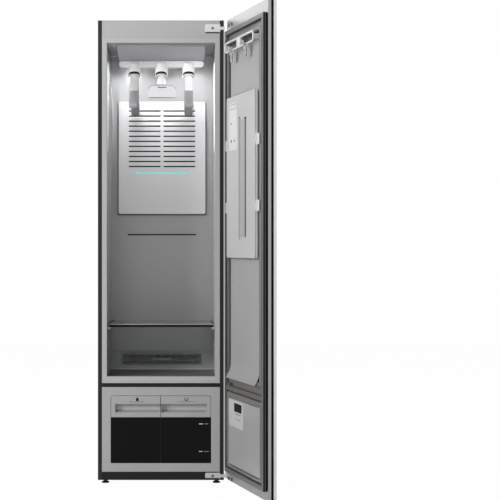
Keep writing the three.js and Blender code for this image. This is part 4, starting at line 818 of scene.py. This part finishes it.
for place in ("left", "centre", "right"):
    refined(f"hanger_socket_{place}", white_gloss, bevel=0.0008)
    low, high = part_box(f"hanger_socket_{place}")
    middle_x = (low.x + high.x) / 2
    radius = (high.x - low.x) / 2 + mouth_shade_proud
    work = bmesh.new()
    rows = []
    for i in range(mouth_shade_steps + 1):
        share = -1 + 2 * i / mouth_shade_steps
        a = mouth_shade_reach * share
        rise = low.z + mouth_shade_rise + mouth_shade_bow * math.sqrt(max(0.0, 1 - share * share))
        row = []
        for out, up in mouth_shade_section:
            r = radius + out
            row.append(work.verts.new((
                middle_x + r * math.sin(a), socket_y - r * math.cos(a), rise + up)))
        rows.append(row)
    for a_row, b_row in zip(rows, rows[1:]):
        for j in range(len(mouth_shade_section)):
            k = (j + 1) % len(mouth_shade_section)
            work.faces.new((a_row[j], a_row[k], b_row[k], b_row[j]))
    work.faces.new(rows[0])
    work.faces.new(rows[-1])
    bmesh.ops.recalc_face_normals(work, faces=work.faces)
    mouth_shade_mesh = bpy.data.meshes.new("socket mouth shade mesh")
    work.to_mesh(mouth_shade_mesh)
    work.free()
    mouth_shade_mesh.shade_smooth()
    kept(f"socket_mouth_shade_{place}", mouth_shade_mesh, "cabinet", mouth_shade_black)

# Air hangers: hollow white shoulders on a flat head. Each arm is one blown form, thick at the neck
# and thinner to its round tip, and its outer part has a grey overmould that grips the cloth.
grip_grey = coat("hanger grip grey", (0.27, 0.27, 0.275), (0.33, 0.33, 0.335), (0.45, 0.45, 0.45),
                 (0.42, 0.55), grain=1100.0, height=0.02)
grip_head = 1.662
for place in ("left", "centre", "right"):
    hanger = refined(f"air_hanger_{place}", white_gloss, bevel=0.001)
    if place == "centre":
        continue
    hanger.data.materials.append(grip_grey)
    work = bmesh.new()
    work.from_mesh(hanger.data)
    bmesh.ops.bisect_plane(work, geom=work.verts[:] + work.edges[:] + work.faces[:],
                           plane_co=(0, 0, grip_head), plane_no=(0, 0, 1))
    for face in work.faces:
        if face.calc_center_median().z < grip_head:
            face.material_index = 1
    work.to_mesh(hanger.data)
    work.free()

# Rear lamp: a tray hangs from the duct just behind the bar, and the two lit strips in its underside
# wash down the rear wall and the vent cover while the ceiling above them stays dim.
duct_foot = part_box("hanger_bar")[1].z + 0.0003
tray_x, tray_y, tray_foot = (-0.183, 0.183), (-0.0452, -0.0165), 1.7815
rounded_blocks("lamp_tray", "cabinet", ceiling_coat, [(tray_x, tray_y, (tray_foot, duct_foot))],
               bevel=0.0012)
wash_glow = glow("rear lamp lens", (1.0, 1.0, 1.0), (0.9, 0.92, 0.94), strength=0.9, spill=155.0)
wash_x, wash_y, wash_z = 0.1345, -0.0308, tray_foot - 0.0001
for side, name in ((-1, "left"), (1, "right")):
    wash = capsule(outline_width=0.022, outline_height=0.092, thick=0.0012, crown=0.0006)
    wash.transform(Matrix.Translation((side * wash_x, wash_y, wash_z))
                   @ Matrix.Rotation(math.radians(90), 4, "X")
                   @ Matrix.Rotation(math.radians(90), 4, "Y"))
    kept(f"rear_lamp_lens_{name}", wash, "cabinet", wash_glow)

# Vent cover: a pale plate on pegs before the rear wall, with two columns of air slots.
# A black cloth is glued behind the slots, black strips round its sides and foot are painted shadow in
# the gap behind it, and a lit cyan bar is let into its face. A black strip along the wall's seam below
# it is painted shade.
moulded_pale = coat("pale moulding", (0.62, 0.62, 0.625), (0.68, 0.68, 0.682), (0.8, 0.8, 0.8),
                    (0.36, 0.46), grain=1500.0, height=0.012, rubbed=0.2)
refined("vent_cover", moulded_pale, bevel=0.0009)
filter_cloth = coat("black filter cloth", (0.004, 0.004, 0.004), (0.007, 0.007, 0.007),
                    (0.015, 0.015, 0.015), (0.85, 0.95), grain=2600.0, height=0.2, radius=0.0003,
                    specular=0.05)
cloth_x, cloth_z, cloth_thick = (-0.157, 0.157), (1.335, 1.612), 0.0008
cloth_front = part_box("vent_cover")[0].y + 0.009
rounded_blocks("slot_cloth", "cabinet", filter_cloth,
               [(cloth_x, (cloth_front, cloth_front + cloth_thick), cloth_z)], bevel=0.0003)
# Black strips in the gap round the cover's sides and foot: painted shadow.
shadow_gap_x, shadow_gap_half, shadow_gap_reach = 0.1985, 0.0013, 0.1998
shadow_gap_y, shadow_gap_z, shadow_gap_foot_z = (0.1215, 0.1296), (1.132, 1.6385), (1.1306, 1.1332)
rounded_blocks("vent_shadow_gap", "cabinet", soft_black,
               [((side * shadow_gap_x - shadow_gap_half, side * shadow_gap_x + shadow_gap_half), shadow_gap_y, shadow_gap_z)
                for side in (-1, 1)]
               + [((-shadow_gap_reach, shadow_gap_reach), shadow_gap_y, shadow_gap_foot_z)], bevel=0.0003)
# Black strip along the wall's seam: painted shade.
wall_shade_x, wall_shade_y, wall_shade_z = (-0.155, 0.155), (0.1290, 0.1299), (1.0388, 1.0446)
rounded_blocks("wall_shade_strip", "cabinet", soft_black,
               [(wall_shade_x, wall_shade_y, wall_shade_z)], bevel=0.0003)
cyan_glow = glow("light bar glow", (0.17, 0.7, 0.72), (0.24, 0.74, 0.76), strength=0.3, spill=1.6)
bar_low, bar_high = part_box("light_bar")
bar = capsule(bar_high.z - bar_low.z, bar_high.x - bar_low.x, thick=0.0026, crown=0.0006, steps=6)
bar.transform(Matrix.Translation((0, bar_high.y, (bar_low.z + bar_high.z) / 2))
              @ Matrix.Rotation(math.radians(90), 4, "Y"))
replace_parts(kept("light_bar_lens", bar, "cabinet", cyan_glow), "light_bar")

# Scent drawer: a pale front with round upper corners over a small tray, with a finger slot near its
# top. The slot's black lining and a thin dark line along the upper edge and the foot are painted
# shadow.
drawer_grey = coat("scent drawer moulding", (0.4, 0.4, 0.403), (0.45, 0.45, 0.452), (0.6, 0.6, 0.6),
                   (0.36, 0.46), grain=1500.0, height=0.012)
refined("scent_drawer", drawer_grey, bevel=0.0009)
scent_low, scent_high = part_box("scent_drawer")
# The slot's black lining is painted shade in the recess.
slot_black = coat("slot black", (0.01, 0.01, 0.01), (0.016, 0.016, 0.016), (0.04, 0.04, 0.04),
                  (0.5, 0.7))
finger_slot_x = (-0.0198, 0.0198)
finger_slot_y = (scent_low.y + 0.0008, scent_low.y + 0.0019)
finger_slot_z = (scent_high.z - 0.0103, scent_high.z - 0.0057)
rounded_blocks("scent_slot_shade", "scent_drawer", slot_black,
               [(finger_slot_x, finger_slot_y, finger_slot_z)], bevel=0.0003)


def printed(name, body, finish, face, shapes, thick=0.00012):
    """Thin flat shapes on a face that looks to the front: each is a closed outline in X and Z."""
    work = bmesh.new()
    for outline in shapes:
        rear = [work.verts.new((x, face, z)) for x, z in outline]
        fore = [work.verts.new((x, face - thick, z)) for x, z in outline]
        work.faces.new(rear)
        work.faces.new(fore)
        for i in range(len(outline)):
            j = (i + 1) % len(outline)
            work.faces.new((rear[i], rear[j], fore[j], fore[i]))
    bmesh.ops.recalc_face_normals(work, faces=work.faces)
    mesh = bpy.data.meshes.new(name)
    work.to_mesh(mesh)
    work.free()
    return kept(name, mesh, body, finish)


def strip(x0, x1, z0, z1):
    return [(x0, z0), (x1, z0), (x1, z1), (x0, z1)]


scent_corner = 0.020
corner_x = scent_high.x - scent_corner
corner_z = scent_high.z - scent_corner
quarter = [math.radians(15 * i) for i in range(7)]


def drawer_shadow_line(inset):
    """The drawer's upper outline, from one side over both round corners, drawn in a little."""
    radius = scent_corner - inset
    bow = [(math.sin(a) * radius, math.cos(a) * radius) for a in quarter]
    return ([(-corner_x - x, corner_z + z) for x, z in reversed(bow)]
            + [(corner_x + x, corner_z + z) for x, z in bow])


# Thin dark band round the drawer's upper edge and foot: painted shadow in its gap.
drawer_shadow_out, drawer_shadow_in = drawer_shadow_line(inset=0.0002), drawer_shadow_line(inset=0.0017)
drawer_shadow_foot_reach = scent_high.x - 0.002
drawer_shadow_foot_z = (scent_low.z + 0.0002, scent_low.z + 0.0022)
printed("scent_shadow_line", "scent_drawer", soft_black, scent_low.y,
        [[drawer_shadow_out[i], drawer_shadow_out[i + 1], drawer_shadow_in[i + 1], drawer_shadow_in[i]] for i in range(len(drawer_shadow_out) - 1)]
        + [strip(-drawer_shadow_foot_reach, drawer_shadow_foot_reach, *drawer_shadow_foot_z)])


# Shelf: a sheet of grey glass in a drawn metal strip, on a moulded rail along each side wall.
# A black band under the strip is painted shade, black rubber lies along the glass edges, and a
# plated pin at the back of each rail keeps the glass from lifting.
def tinted_glass():
    made = bpy.data.materials.new("grey shelf glass")
    made.use_nodes = True
    tree = made.node_tree
    skin = tree.nodes["Principled BSDF"]
    skin.inputs["Transmission Weight"].default_value = 1
    skin.inputs["IOR"].default_value = 1.5
    marks = tree.nodes.new("ShaderNodeGroup")
    marks.node_tree = grain_group
    tone = tree.nodes.new("ShaderNodeMix")
    tone.data_type = "RGBA"
    tone.inputs["A"].default_value = (0.42, 0.46, 0.47, 1)
    tone.inputs["B"].default_value = (0.5, 0.54, 0.55, 1)
    tree.links.new(marks.outputs["Drift"], tone.inputs["Factor"])
    tree.links.new(tone.outputs["Result"], skin.inputs["Base Color"])
    film = tree.nodes.new("ShaderNodeMapRange")
    film.inputs["To Min"].default_value = 0.01
    film.inputs["To Max"].default_value = 0.06
    tree.links.new(marks.outputs["Smudge"], film.inputs["Value"])
    tree.links.new(film.outputs[0], skin.inputs["Roughness"])
    return made


dress(tinted_glass(), "shelf_glass")
strip_metal = coat("drawn strip metal", (0.2, 0.2, 0.202), (0.26, 0.26, 0.262), (0.45, 0.45, 0.45),
                   (0.36, 0.48), grain=700.0, height=0.01, metallic=0.2, stretch=(0.05, 1, 1))
refined("shelf_strip", strip_metal, bevel=0.0008)
strip_low, strip_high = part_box("shelf_strip")
for side in ("left", "right"):
    refined(f"shelf_bracket_{side}", moulded_pale, bevel=0.001)
# Black band under the shelf strip: painted shade.
strip_shade_black = coat("strip underside shade", (0.003, 0.003, 0.003), (0.005, 0.005, 0.005), (0.02, 0.02, 0.02),
                    (0.6, 0.8), grain=2200.0, height=0.02, radius=0.001, specular=0.05)
strip_shade_reach, strip_shade_high = 0.0012, 0.0078
rounded_blocks("strip_underside_shade", "shelf", strip_shade_black,
               [((strip_low.x, strip_high.x), (strip_low.y - strip_shade_reach, strip_high.y),
                 (strip_low.z - strip_shade_reach, strip_low.z + strip_shade_high))],
               bevel=0.0003)
glass_edge_x, glass_edge_half = 0.2216, 0.0026
glass_edge_y, glass_edge_z = (-0.2285, 0.1105), (0.6551, 0.6562)
rounded_blocks("glass_edging", "shelf", soft_black,
               [((side * glass_edge_x - glass_edge_half, side * glass_edge_x + glass_edge_half),
                 glass_edge_y, glass_edge_z) for side in (-1, 1)], bevel=0.0003)
pin_middle, pin_half, shelf_pin_y = 0.2265, 0.0018, (0.1135, 0.1185)
shelf_pin_z = (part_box("shelf_bracket_left")[1].z - 0.012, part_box("shelf_glass")[1].z + 0.008)
rounded_blocks("shelf_pins", "cabinet", bright_metal,
               [((side * pin_middle - pin_half, side * pin_middle + pin_half), shelf_pin_y,
                 shelf_pin_z) for side in (-1, 1)], bevel=0.0008)

# Water tanks: smoked clear mouldings under pale grey lids. Each lid's front has a finger recess paled
# as painted light, a fine outline, and a small mark over a line. The right tank shows two printed level
# marks.
smoke = coat("tank smoke", (0.0035, 0.0035, 0.004), (0.005, 0.005, 0.0055), (0.03, 0.03, 0.03),
             (0.1, 0.22), grain=1800.0, height=0.004, radius=0.0012, specular=0.06)
lid_coat = coat("lid grey", (0.28, 0.28, 0.284), (0.32, 0.32, 0.322), (0.46, 0.46, 0.46),
                (0.38, 0.5), grain=1600.0, height=0.015, rubbed=0.3)
# The paler plate in each lid's finger recess is painted light.
recess_light_coat = coat("recess grey with painted light", (0.42, 0.42, 0.424), (0.46, 0.46, 0.462), (0.6, 0.6, 0.6),
                   (0.38, 0.5), grain=1600.0, height=0.012)
recess_near, recess_far = 0.0042, 0.1923
recess_y, recess_z = (-0.2549, -0.2543), (0.2936, 0.333)
for side, sign in (("left", -1), ("right", 1)):
    rounded_blocks(f"recess_plate_{side}", f"tank_{side}", recess_light_coat,
                   [(tuple(sorted((sign * recess_near, sign * recess_far))), recess_y, recess_z)],
                   bevel=0.0002)
    refined(f"tank_{side}", smoke, bevel=0.0012)
    refined(f"tank_lid_{side}", lid_coat, bevel=0.0008)
print_dark = coat("dark print", (0.006, 0.006, 0.006), (0.01, 0.01, 0.01), (0.02, 0.02, 0.02),
                  (0.5, 0.6), specular=0.08)
print_pale = coat("pale print", (0.62, 0.62, 0.62), (0.7, 0.7, 0.7), (0.7, 0.7, 0.7), (0.5, 0.6))
lid_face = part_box("tank_lid_left")[0].y
drop_x, drop_z, drop_half, drop_tall, drop_taper = -0.100, 0.3418, 0.0084, 0.0082, 0.32
drop = [(drop_x + drop_half * math.sin(a) * (1 - drop_taper * (1 + math.cos(a))),
         drop_z + drop_tall * math.cos(a)) for a in [math.tau * i / 24 for i in range(24)]]
mark_line_z = (0.3298, 0.3313)
printed("fill_mark", "tank_left", print_dark, lid_face, [drop, strip(-0.134, -0.070, *mark_line_z)])
lid_seam_x, lid_seam_z = (-0.0026, -0.0007), (0.2675, 0.3555)
printed("lid_seam", "tank_left", soft_black, lid_face, [strip(*lid_seam_x, *lid_seam_z)])
lid_side, lid_head, lid_foot, lid_middle = 0.2117, 0.3566, 0.2665, 0.0012
lid_corner, lid_line_width = 0.012, 0.0012


def lid_line(inset):
    """The right lid's outline, from its middle over its round upper corner to its foot."""
    radius = lid_corner - inset
    bow = [(lid_side - lid_corner + radius * math.sin(a), lid_head - lid_corner + radius * math.cos(a))
           for a in quarter]
    return [(lid_middle, lid_head - inset), *bow, (lid_side - inset, lid_foot)]


edge_out, edge_in = lid_line(inset=0), lid_line(inset=lid_line_width)
for side, sign in (("left", -1), ("right", 1)):
    printed(f"lid_outline_{side}", f"tank_{side}", soft_black, lid_face,
            [[(sign * x, z) for x, z in (edge_out[i], edge_out[i + 1], edge_in[i + 1], edge_in[i])]
             for i in range(len(edge_out) - 1)], 0.0001)
cup_x, cup_half, cup_rim, cup_foot, cup_floor = 0.1075, 0.0084, 0.3490, 0.3352, 0.3388
cup = [(cup_x + share * cup_half, z) for share, z in (
    (-1, cup_rim), (-0.72, cup_foot), (0.72, cup_foot), (1, cup_rim),
    (0.66, cup_rim), (0.44, cup_floor), (-0.44, cup_floor), (-0.66, cup_rim))]
printed("drain_mark", "tank_right", print_dark, lid_face, [cup, strip(0.0745, 0.1395, *mark_line_z)])
tank_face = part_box("tank_right")[0].y
tank_seam_x, tank_seam_z = (-0.0034, 0.0003), (0.0725, 0.2648)
printed("tank_seam", "tank_left", print_dark, tank_face, [strip(*tank_seam_x, *tank_seam_z)])
full_thick_z, full_thin_z = (0.2357, 0.2388), (0.2368, 0.2377)
low_thick_z, low_thin_z = (0.1191, 0.1218), (0.1200, 0.1209)
printed("level_marks", "tank_right", print_pale, tank_face,
        [strip(0.161, 0.178, *full_thick_z), strip(0.184, 0.200, *full_thin_z),
         strip(0.161, 0.176, *low_thick_z), strip(0.182, 0.202, *low_thin_z)])

# Door: it hangs on the right and rests open at 105 degrees, and all its pieces are placed by their
# distance from its own middle, from its liner and from the floor of the cabinet.
pin_x, pin_y = 0.278, -0.299
door_turn = Matrix.Translation((pin_x, pin_y, 0)) @ Matrix.Rotation(math.radians(105), 4, "Z") \
    @ Matrix.Translation((-pin_x, 0, 0))
door_white = coat("door white", (0.6, 0.6, 0.6), (0.66, 0.66, 0.66), (0.85, 0.85, 0.85),
                  (0.16, 0.28), grain=400.0, height=0.006, radius=0.0012, clear=0.4)
refined("door_panel", door_white, bevel=0.0008)
frame_grey = coat("door frame grey", (0.165, 0.165, 0.165), (0.195, 0.195, 0.195), (0.32, 0.32, 0.32),
                  (0.36, 0.46), grain=1400.0, height=0.01)
refined("door_frame", frame_grey, bevel=0.0009)
groove_black = coat("black finish and painted shade", (0.003, 0.003, 0.003), (0.005, 0.005, 0.005),
                    (0.015, 0.015, 0.015), (0.8, 0.95), grain=1800.0, height=0.1, specular=0.05)


def ring_spans(reach, low, high, wide, depth):
    """Four blocks that make a frame about the door's middle, wide across and deep along Y."""
    return [((-reach, wide - reach), depth, (low, high)), ((reach - wide, reach), depth, (low, high)),
            ((wide - reach, reach - wide), depth, (low, low + wide)),
            ((wide - reach, reach - wide), depth, (high - wide, high))]


# Groove and edge trim: black foam fills the groove behind the frame, its black also the painted shade
# in the groove, and a grey strip edges the panel. Thin black strips along the frame's long edges and on
# the liner's rims are painted shadow, and a pale strip over the frame's outer edge is a painted
# highlight.
# The black foam is also painted shade in the groove.
rounded_blocks("groove_foam_shade", "door", groove_black,
               ring_spans(reach=0.2622, low=0.0123, high=1.9357, wide=0.0012, depth=(-0.0201, -0.0119))
               + ring_spans(reach=0.2672, low=0.0073, high=1.9407, wide=0.0036,
                            depth=(-0.0206, -0.0202)), bevel=0.0002, place=door_turn)
# Black strips along both long edges of the frame and on the liner's rims at the hinge side: painted
# shadow.
frame_shade_y, frame_shade_z = (0.0012, 0.0016), (0.05, 1.884)
inner_rim_shade_x, inner_rim_shade_y, inner_rim_shade_z = (0.2085, 0.2215), (0.0190, 0.0193), (0.462, 1.825)
outer_rim_shade_x, outer_rim_shade_y, outer_rim_shade_z = (0.2375, 0.2505), (0.0187, 0.01882), (0.064, 1.848)
rounded_blocks("frame_shade_strips", "door", groove_black,
               [((-0.2645, -0.2528), frame_shade_y, frame_shade_z),
                ((0.2528, 0.2662), frame_shade_y, frame_shade_z),
                (inner_rim_shade_x, inner_rim_shade_y, inner_rim_shade_z),
                (outer_rim_shade_x, outer_rim_shade_y, outer_rim_shade_z)], bevel=0.00005, place=door_turn)
# A pale strip over the frame's outer edge: painted highlight.
rounded_blocks("frame_edge_highlight", "door", front_coat,
               ring_spans(reach=0.2670, low=0.0076, high=1.9404, wide=0.0004,
                          depth=(-0.0109, 0.0004)), bevel=0.0001, place=door_turn)
edge_trim = coat("panel edge trim", (0.58, 0.58, 0.582), (0.64, 0.64, 0.642), (0.75, 0.75, 0.75),
                 (0.3, 0.42), grain=900.0, height=0.01)
rounded_blocks("panel_trim", "door", edge_trim,
               ring_spans(reach=0.2671, low=0.0074, high=1.9406, wide=0.0006,
                          depth=(-0.0325, -0.0216)), bevel=0.0002, place=door_turn)

# Strap screws: two black screws hold each hinge strap, with their heads on the frame's inner face.
# They stand side by side at the hinge's end of the frame.
strap_screw_x, strap_face, strap_screw_radius = (0.2425, 0.2015), 0.001, 0.0068
strap_facing = tuple(door_turn.to_3x3() @ Vector((0, 1, 0)))
for end, z in (("top", 1.9145), ("bottom", 0.0178)):
    screws(f"strap_screw_{end}", [door_turn @ Vector((x, strap_face, z)) for x in strap_screw_x],
           strap_facing, "door", strap_screw_radius, groove_black)

# Door liner: one vacuum-formed sheet in warm grey, its rims drawn up round the two compartments.
# A paler flat plate is set into the lower one.
warm_liner = coat("warm grey liner", (0.1, 0.098, 0.094), (0.13, 0.127, 0.122), (0.24, 0.235, 0.225),
                  (0.4, 0.5), grain=1500.0, height=0.02, radius=0.0015)
refined("door_liner", warm_liner, bevel=0.0015, segments=3)
lower_pale = coat("lower liner plate", (0.25, 0.25, 0.25), (0.29, 0.29, 0.29), (0.44, 0.44, 0.44),
                  (0.35, 0.45), grain=1400.0, height=0.012)
low_plate_x, low_plate_y, low_plate_z = (-0.2066, 0.2066), (0.0034, 0.0135), (0.0868, 0.3602)
rounded_blocks("liner_plate_low", "door", lower_pale, [(low_plate_x, low_plate_y, low_plate_z)],
               bevel=0.0012, place=door_turn)

# Gasket: extruded grey rubber with a magnet inside, pushed into the edge of the liner. Two black
# bands round its outer side are painted shade in its folds.
gasket_grey = coat("warm grey rubber", (0.07, 0.068, 0.065), (0.09, 0.088, 0.084), (0.15, 0.147, 0.142),
                   (0.5, 0.65), grain=2200.0, height=0.03, radius=0.001)
refined("door_gasket", gasket_grey, bevel=0.0012)
gasket_reach, gasket_foot, gasket_head, fold_shade_wide = 0.2532, 0.0453, 1.8887, 0.0012
# Black bands round the gasket's outer side: painted shade in its folds.
rounded_blocks("gasket_fold_shade", "door", groove_black,
               ring_spans(gasket_reach, gasket_foot, gasket_head, fold_shade_wide, (0.0018, 0.0061))
               + ring_spans(gasket_reach, gasket_foot, gasket_head, fold_shade_wide, (0.0105, 0.0154)),
               bevel=0.0003, place=door_turn)

# Press: a long plate on pegs, flared at its foot, and a thick board hung on two pins before it.
# The board is a pale hollow moulding with a bare paper label. A dark strip and a grey band in its
# face are the painted shade of a crease. A guide runs beside its pins, its white cap a painted
# highlight along the board's free edge, and white catches on the door hold its edges.
press_plate_coat = coat("press plate coat", (0.26, 0.26, 0.262), (0.3, 0.3, 0.3), (0.5, 0.5, 0.5),
                        (0.3, 0.42), grain=1500.0, height=0.012, radius=0.0015)
refined("press_plate", press_plate_coat, bevel=0.0012, angle=40)
press_coat = coat("press board moulding", (0.37, 0.37, 0.37), (0.42, 0.42, 0.42), (0.62, 0.62, 0.62),
                  (0.3, 0.42), grain=1500.0, height=0.012, radius=0.0015)
refined("press_board", press_coat, bevel=0.0012)
loop_white = coat("loop white", (0.5, 0.5, 0.5), (0.56, 0.56, 0.56), (0.75, 0.75, 0.75),
                  (0.3, 0.42), grain=1200.0, height=0.008)
side_shade_coat = coat("crease side shade", (0.29, 0.29, 0.29), (0.33, 0.33, 0.33), (0.5, 0.5, 0.5),
                 (0.36, 0.48), grain=1500.0, height=0.012, radius=0.0015)
paper = coat("label paper", (0.5, 0.5, 0.496), (0.55, 0.55, 0.546), (0.7, 0.7, 0.7), (0.5, 0.62),
             grain=2400.0, height=0.01)
board_face, paper_thick = 0.0293, 0.0002
sheet_depth = (board_face, board_face + paper_thick)
print_depth = (board_face + 0.00021, board_face + 0.0003)
label_x, label_z = (0.044, 0.149), (1.381, 1.574)
rounded_blocks("board_label", "press_board", paper, [(label_x, sheet_depth, label_z)],
               bevel=0.00008, place=door_turn)
field_x, field_z, field_line = (0.052, 0.141), (1.547, 1.5674), 0.0014
label_spots = [((0.117, 0.128), (1.486, 1.494)), ((0.114, 0.126), (1.412, 1.424)),
               ((0.070, 0.080), (1.414, 1.422))]
rounded_blocks("board_label_border", "press_board", print_dark,
               [(field_x, print_depth, (z, z + field_line)) for z in (1.547, 1.566)]
               + [((x, x + field_line), print_depth, field_z) for x in (0.052, 0.1396)]
               + [(spot_x, print_depth, spot_z) for spot_x, spot_z in label_spots],
               bevel=0.00003, place=door_turn)
# A dark strip and a grey band beside it: painted shade of a crease.
crease_shade_grey = coat("crease painted shade", (0.05, 0.05, 0.05), (0.065, 0.065, 0.065), (0.12, 0.12, 0.12),
                   (0.5, 0.65), grain=2200.0, height=0.02, radius=0.001)
crease_depth, crease_foot = (board_face, board_face + 0.0003), 1.025
crease_x, crease_head = (-0.0780, -0.0600), 1.5005
crease_head_x, crease_head_z = (-0.0830, -0.0500), (1.4950, 1.5025)
rounded_blocks("crease_shade_strip", "press_board", crease_shade_grey,
               [(crease_x, crease_depth, (crease_foot, crease_head)),
                (crease_head_x, crease_depth, crease_head_z)], bevel=0.0001, place=door_turn)
side_shade_x, side_shade_head = (-0.0598, -0.0100), 1.4945
rounded_blocks("crease_side_shade", "press_board", side_shade_coat,
               [(side_shade_x, sheet_depth, (crease_foot, side_shade_head))], bevel=0.00008, place=door_turn)
guide_x, guide_y, guide_z = (-0.2070, -0.2044), (0.0045, 0.0236), (0.960, 1.580)
# The guide's white cap is painted highlight along the board's free edge.
edge_highlight_x, edge_highlight_y, edge_highlight_z = (-0.2073, -0.2043), (0.0237, 0.0292), (0.943, 1.597)
rounded_blocks("board_guide", "door", warm_liner, [(guide_x, guide_y, guide_z)],
               bevel=0.0005, place=door_turn)
rounded_blocks("board_edge_highlight", "door", loop_white, [(edge_highlight_x, edge_highlight_y, edge_highlight_z)],
               bevel=0.0008, segments=3, place=door_turn)
catch_right_x, catch_left_x, catch_y = (0.2015, 0.2125), (-0.2235, -0.2075), (0.0195, 0.0265)
catch_heights, catch_half = (1.405, 1.147), 0.022
rounded_blocks("board_catches", "door", loop_white,
               [(reach, catch_y, (z - catch_half, z + catch_half)) for z in catch_heights
                for reach in (catch_right_x, catch_left_x)],
               bevel=0.003, segments=3, place=door_turn)

# Door label: a bare paper sheet glued to the lower plate, printed with a dark field and three
# plain lines.
dull_paper = coat("dull label paper", (0.36, 0.36, 0.357), (0.4, 0.4, 0.397), (0.5, 0.5, 0.5),
                  (0.5, 0.62), grain=2400.0, height=0.01)
door_label_x, door_label_y, door_label_z = (0.012, 0.204), (0.0135, 0.0137), (0.246, 0.356)
door_print_y = (0.01371, 0.0138)
label_field = ((0.030, 0.130), (0.311, 0.346))
label_lines = [((0.040, 0.120), (0.3005, 0.3025)), ((0.050, 0.110), (0.2795, 0.281)),
               ((0.172, 0.186), (0.284, 0.286))]
rounded_blocks("door_label", "door", dull_paper, [(door_label_x, door_label_y, door_label_z)],
               bevel=0.00008, place=door_turn)
rounded_blocks("door_label_field", "door", print_dark,
               [(mark_x, door_print_y, mark_z) for mark_x, mark_z in (label_field, *label_lines)],
               bevel=0.00003, place=door_turn)

# Clip hanger: a white loop on two arms, with a fixed jaw for each clip. The loop is one
# moulding, and the sprung clips are pressed steel.
refined("trouser_hanger", loop_white, bevel=0.0007)
for side in ("left", "right"):
    refined(f"trouser_clip_{side}", bright_metal, bevel=0.0005)

# Thumb levers: a bent steel strip on each clip leans out over the loop's lower bar, where a thumb
# presses it to open the clip.
lever_half, lever_thick, clip_middle = 0.0085, 0.0016, 0.093
lever_bends = ((0.0397, 1.7790), (0.0440, 1.7842), (0.0465, 1.7925), (0.0488, 1.8020))
for side, middle_x in (("left", -clip_middle), ("right", clip_middle)):
    work = bmesh.new()
    rows = []
    for out, up in lever_bends:
        rows.append([work.verts.new((middle_x + across, out + deep, up)) for across, deep in
                     ((-lever_half, 0.0), (lever_half, 0.0),
                      (lever_half, lever_thick), (-lever_half, lever_thick))])
    for below, above in zip(rows, rows[1:]):
        for i in range(4):
            work.faces.new((below[i], below[(i + 1) % 4], above[(i + 1) % 4], above[i]))
    work.faces.new(rows[0])
    work.faces.new(rows[-1])
    bmesh.ops.recalc_face_normals(work, faces=work.faces)
    lever = bpy.data.meshes.new("thumb lever")
    work.to_mesh(lever)
    work.free()
    lever.transform(door_turn)
    kept(f"thumb_lever_{side}", lever, f"trouser_clip_{side}", bright_metal)

# Machine compartment: zinc-coated sheet for the rear cover, the bay and the duct, an enamelled
# compressor, a steel steam generator, two finned coils, a black fan case and the control box.
zinc = coat("zinc sheet", (0.42, 0.43, 0.44), (0.55, 0.56, 0.57), (0.7, 0.7, 0.7),
            (0.34, 0.5), grain=120.0, height=0.01, metallic=1.0, slow=30.0)
dress(zinc, "rear_cover", "tank_bay", "rear_duct")
refined("steam_generator", zinc, bevel=0.001)
dress(zinc, "evaporator")
copper = coat("bare copper", (0.6, 0.27, 0.15), (0.45, 0.19, 0.11), (0.8, 0.45, 0.3),
              (0.3, 0.45), grain=300.0, height=0.01, metallic=1.0, slow=20.0)
dress(copper, "condenser")
enamel = coat("black enamel", (0.012, 0.012, 0.013), (0.018, 0.018, 0.019), (0.08, 0.08, 0.08),
              (0.22, 0.4), grain=500.0, height=0.015, clear=0.3)
refined("compressor", enamel, bevel=0.001)
fan_black = coat("black moulding", (0.018, 0.018, 0.019), (0.026, 0.026, 0.027), (0.08, 0.08, 0.08),
                 (0.45, 0.6), grain=1200.0, height=0.02)
refined("fan_housing", fan_black, bevel=0.0008)
refined("drain_pump", fan_black, bevel=0.0008)
refined("fan_wheel", moulded_pale, bevel=0.0005)
board_green = coat("control case green", (0.03, 0.14, 0.06), (0.045, 0.18, 0.08), (0.2, 0.3, 0.2),
                   (0.4, 0.5), grain=900.0, height=0.012)
refined("control_box", board_green, bevel=0.0008)
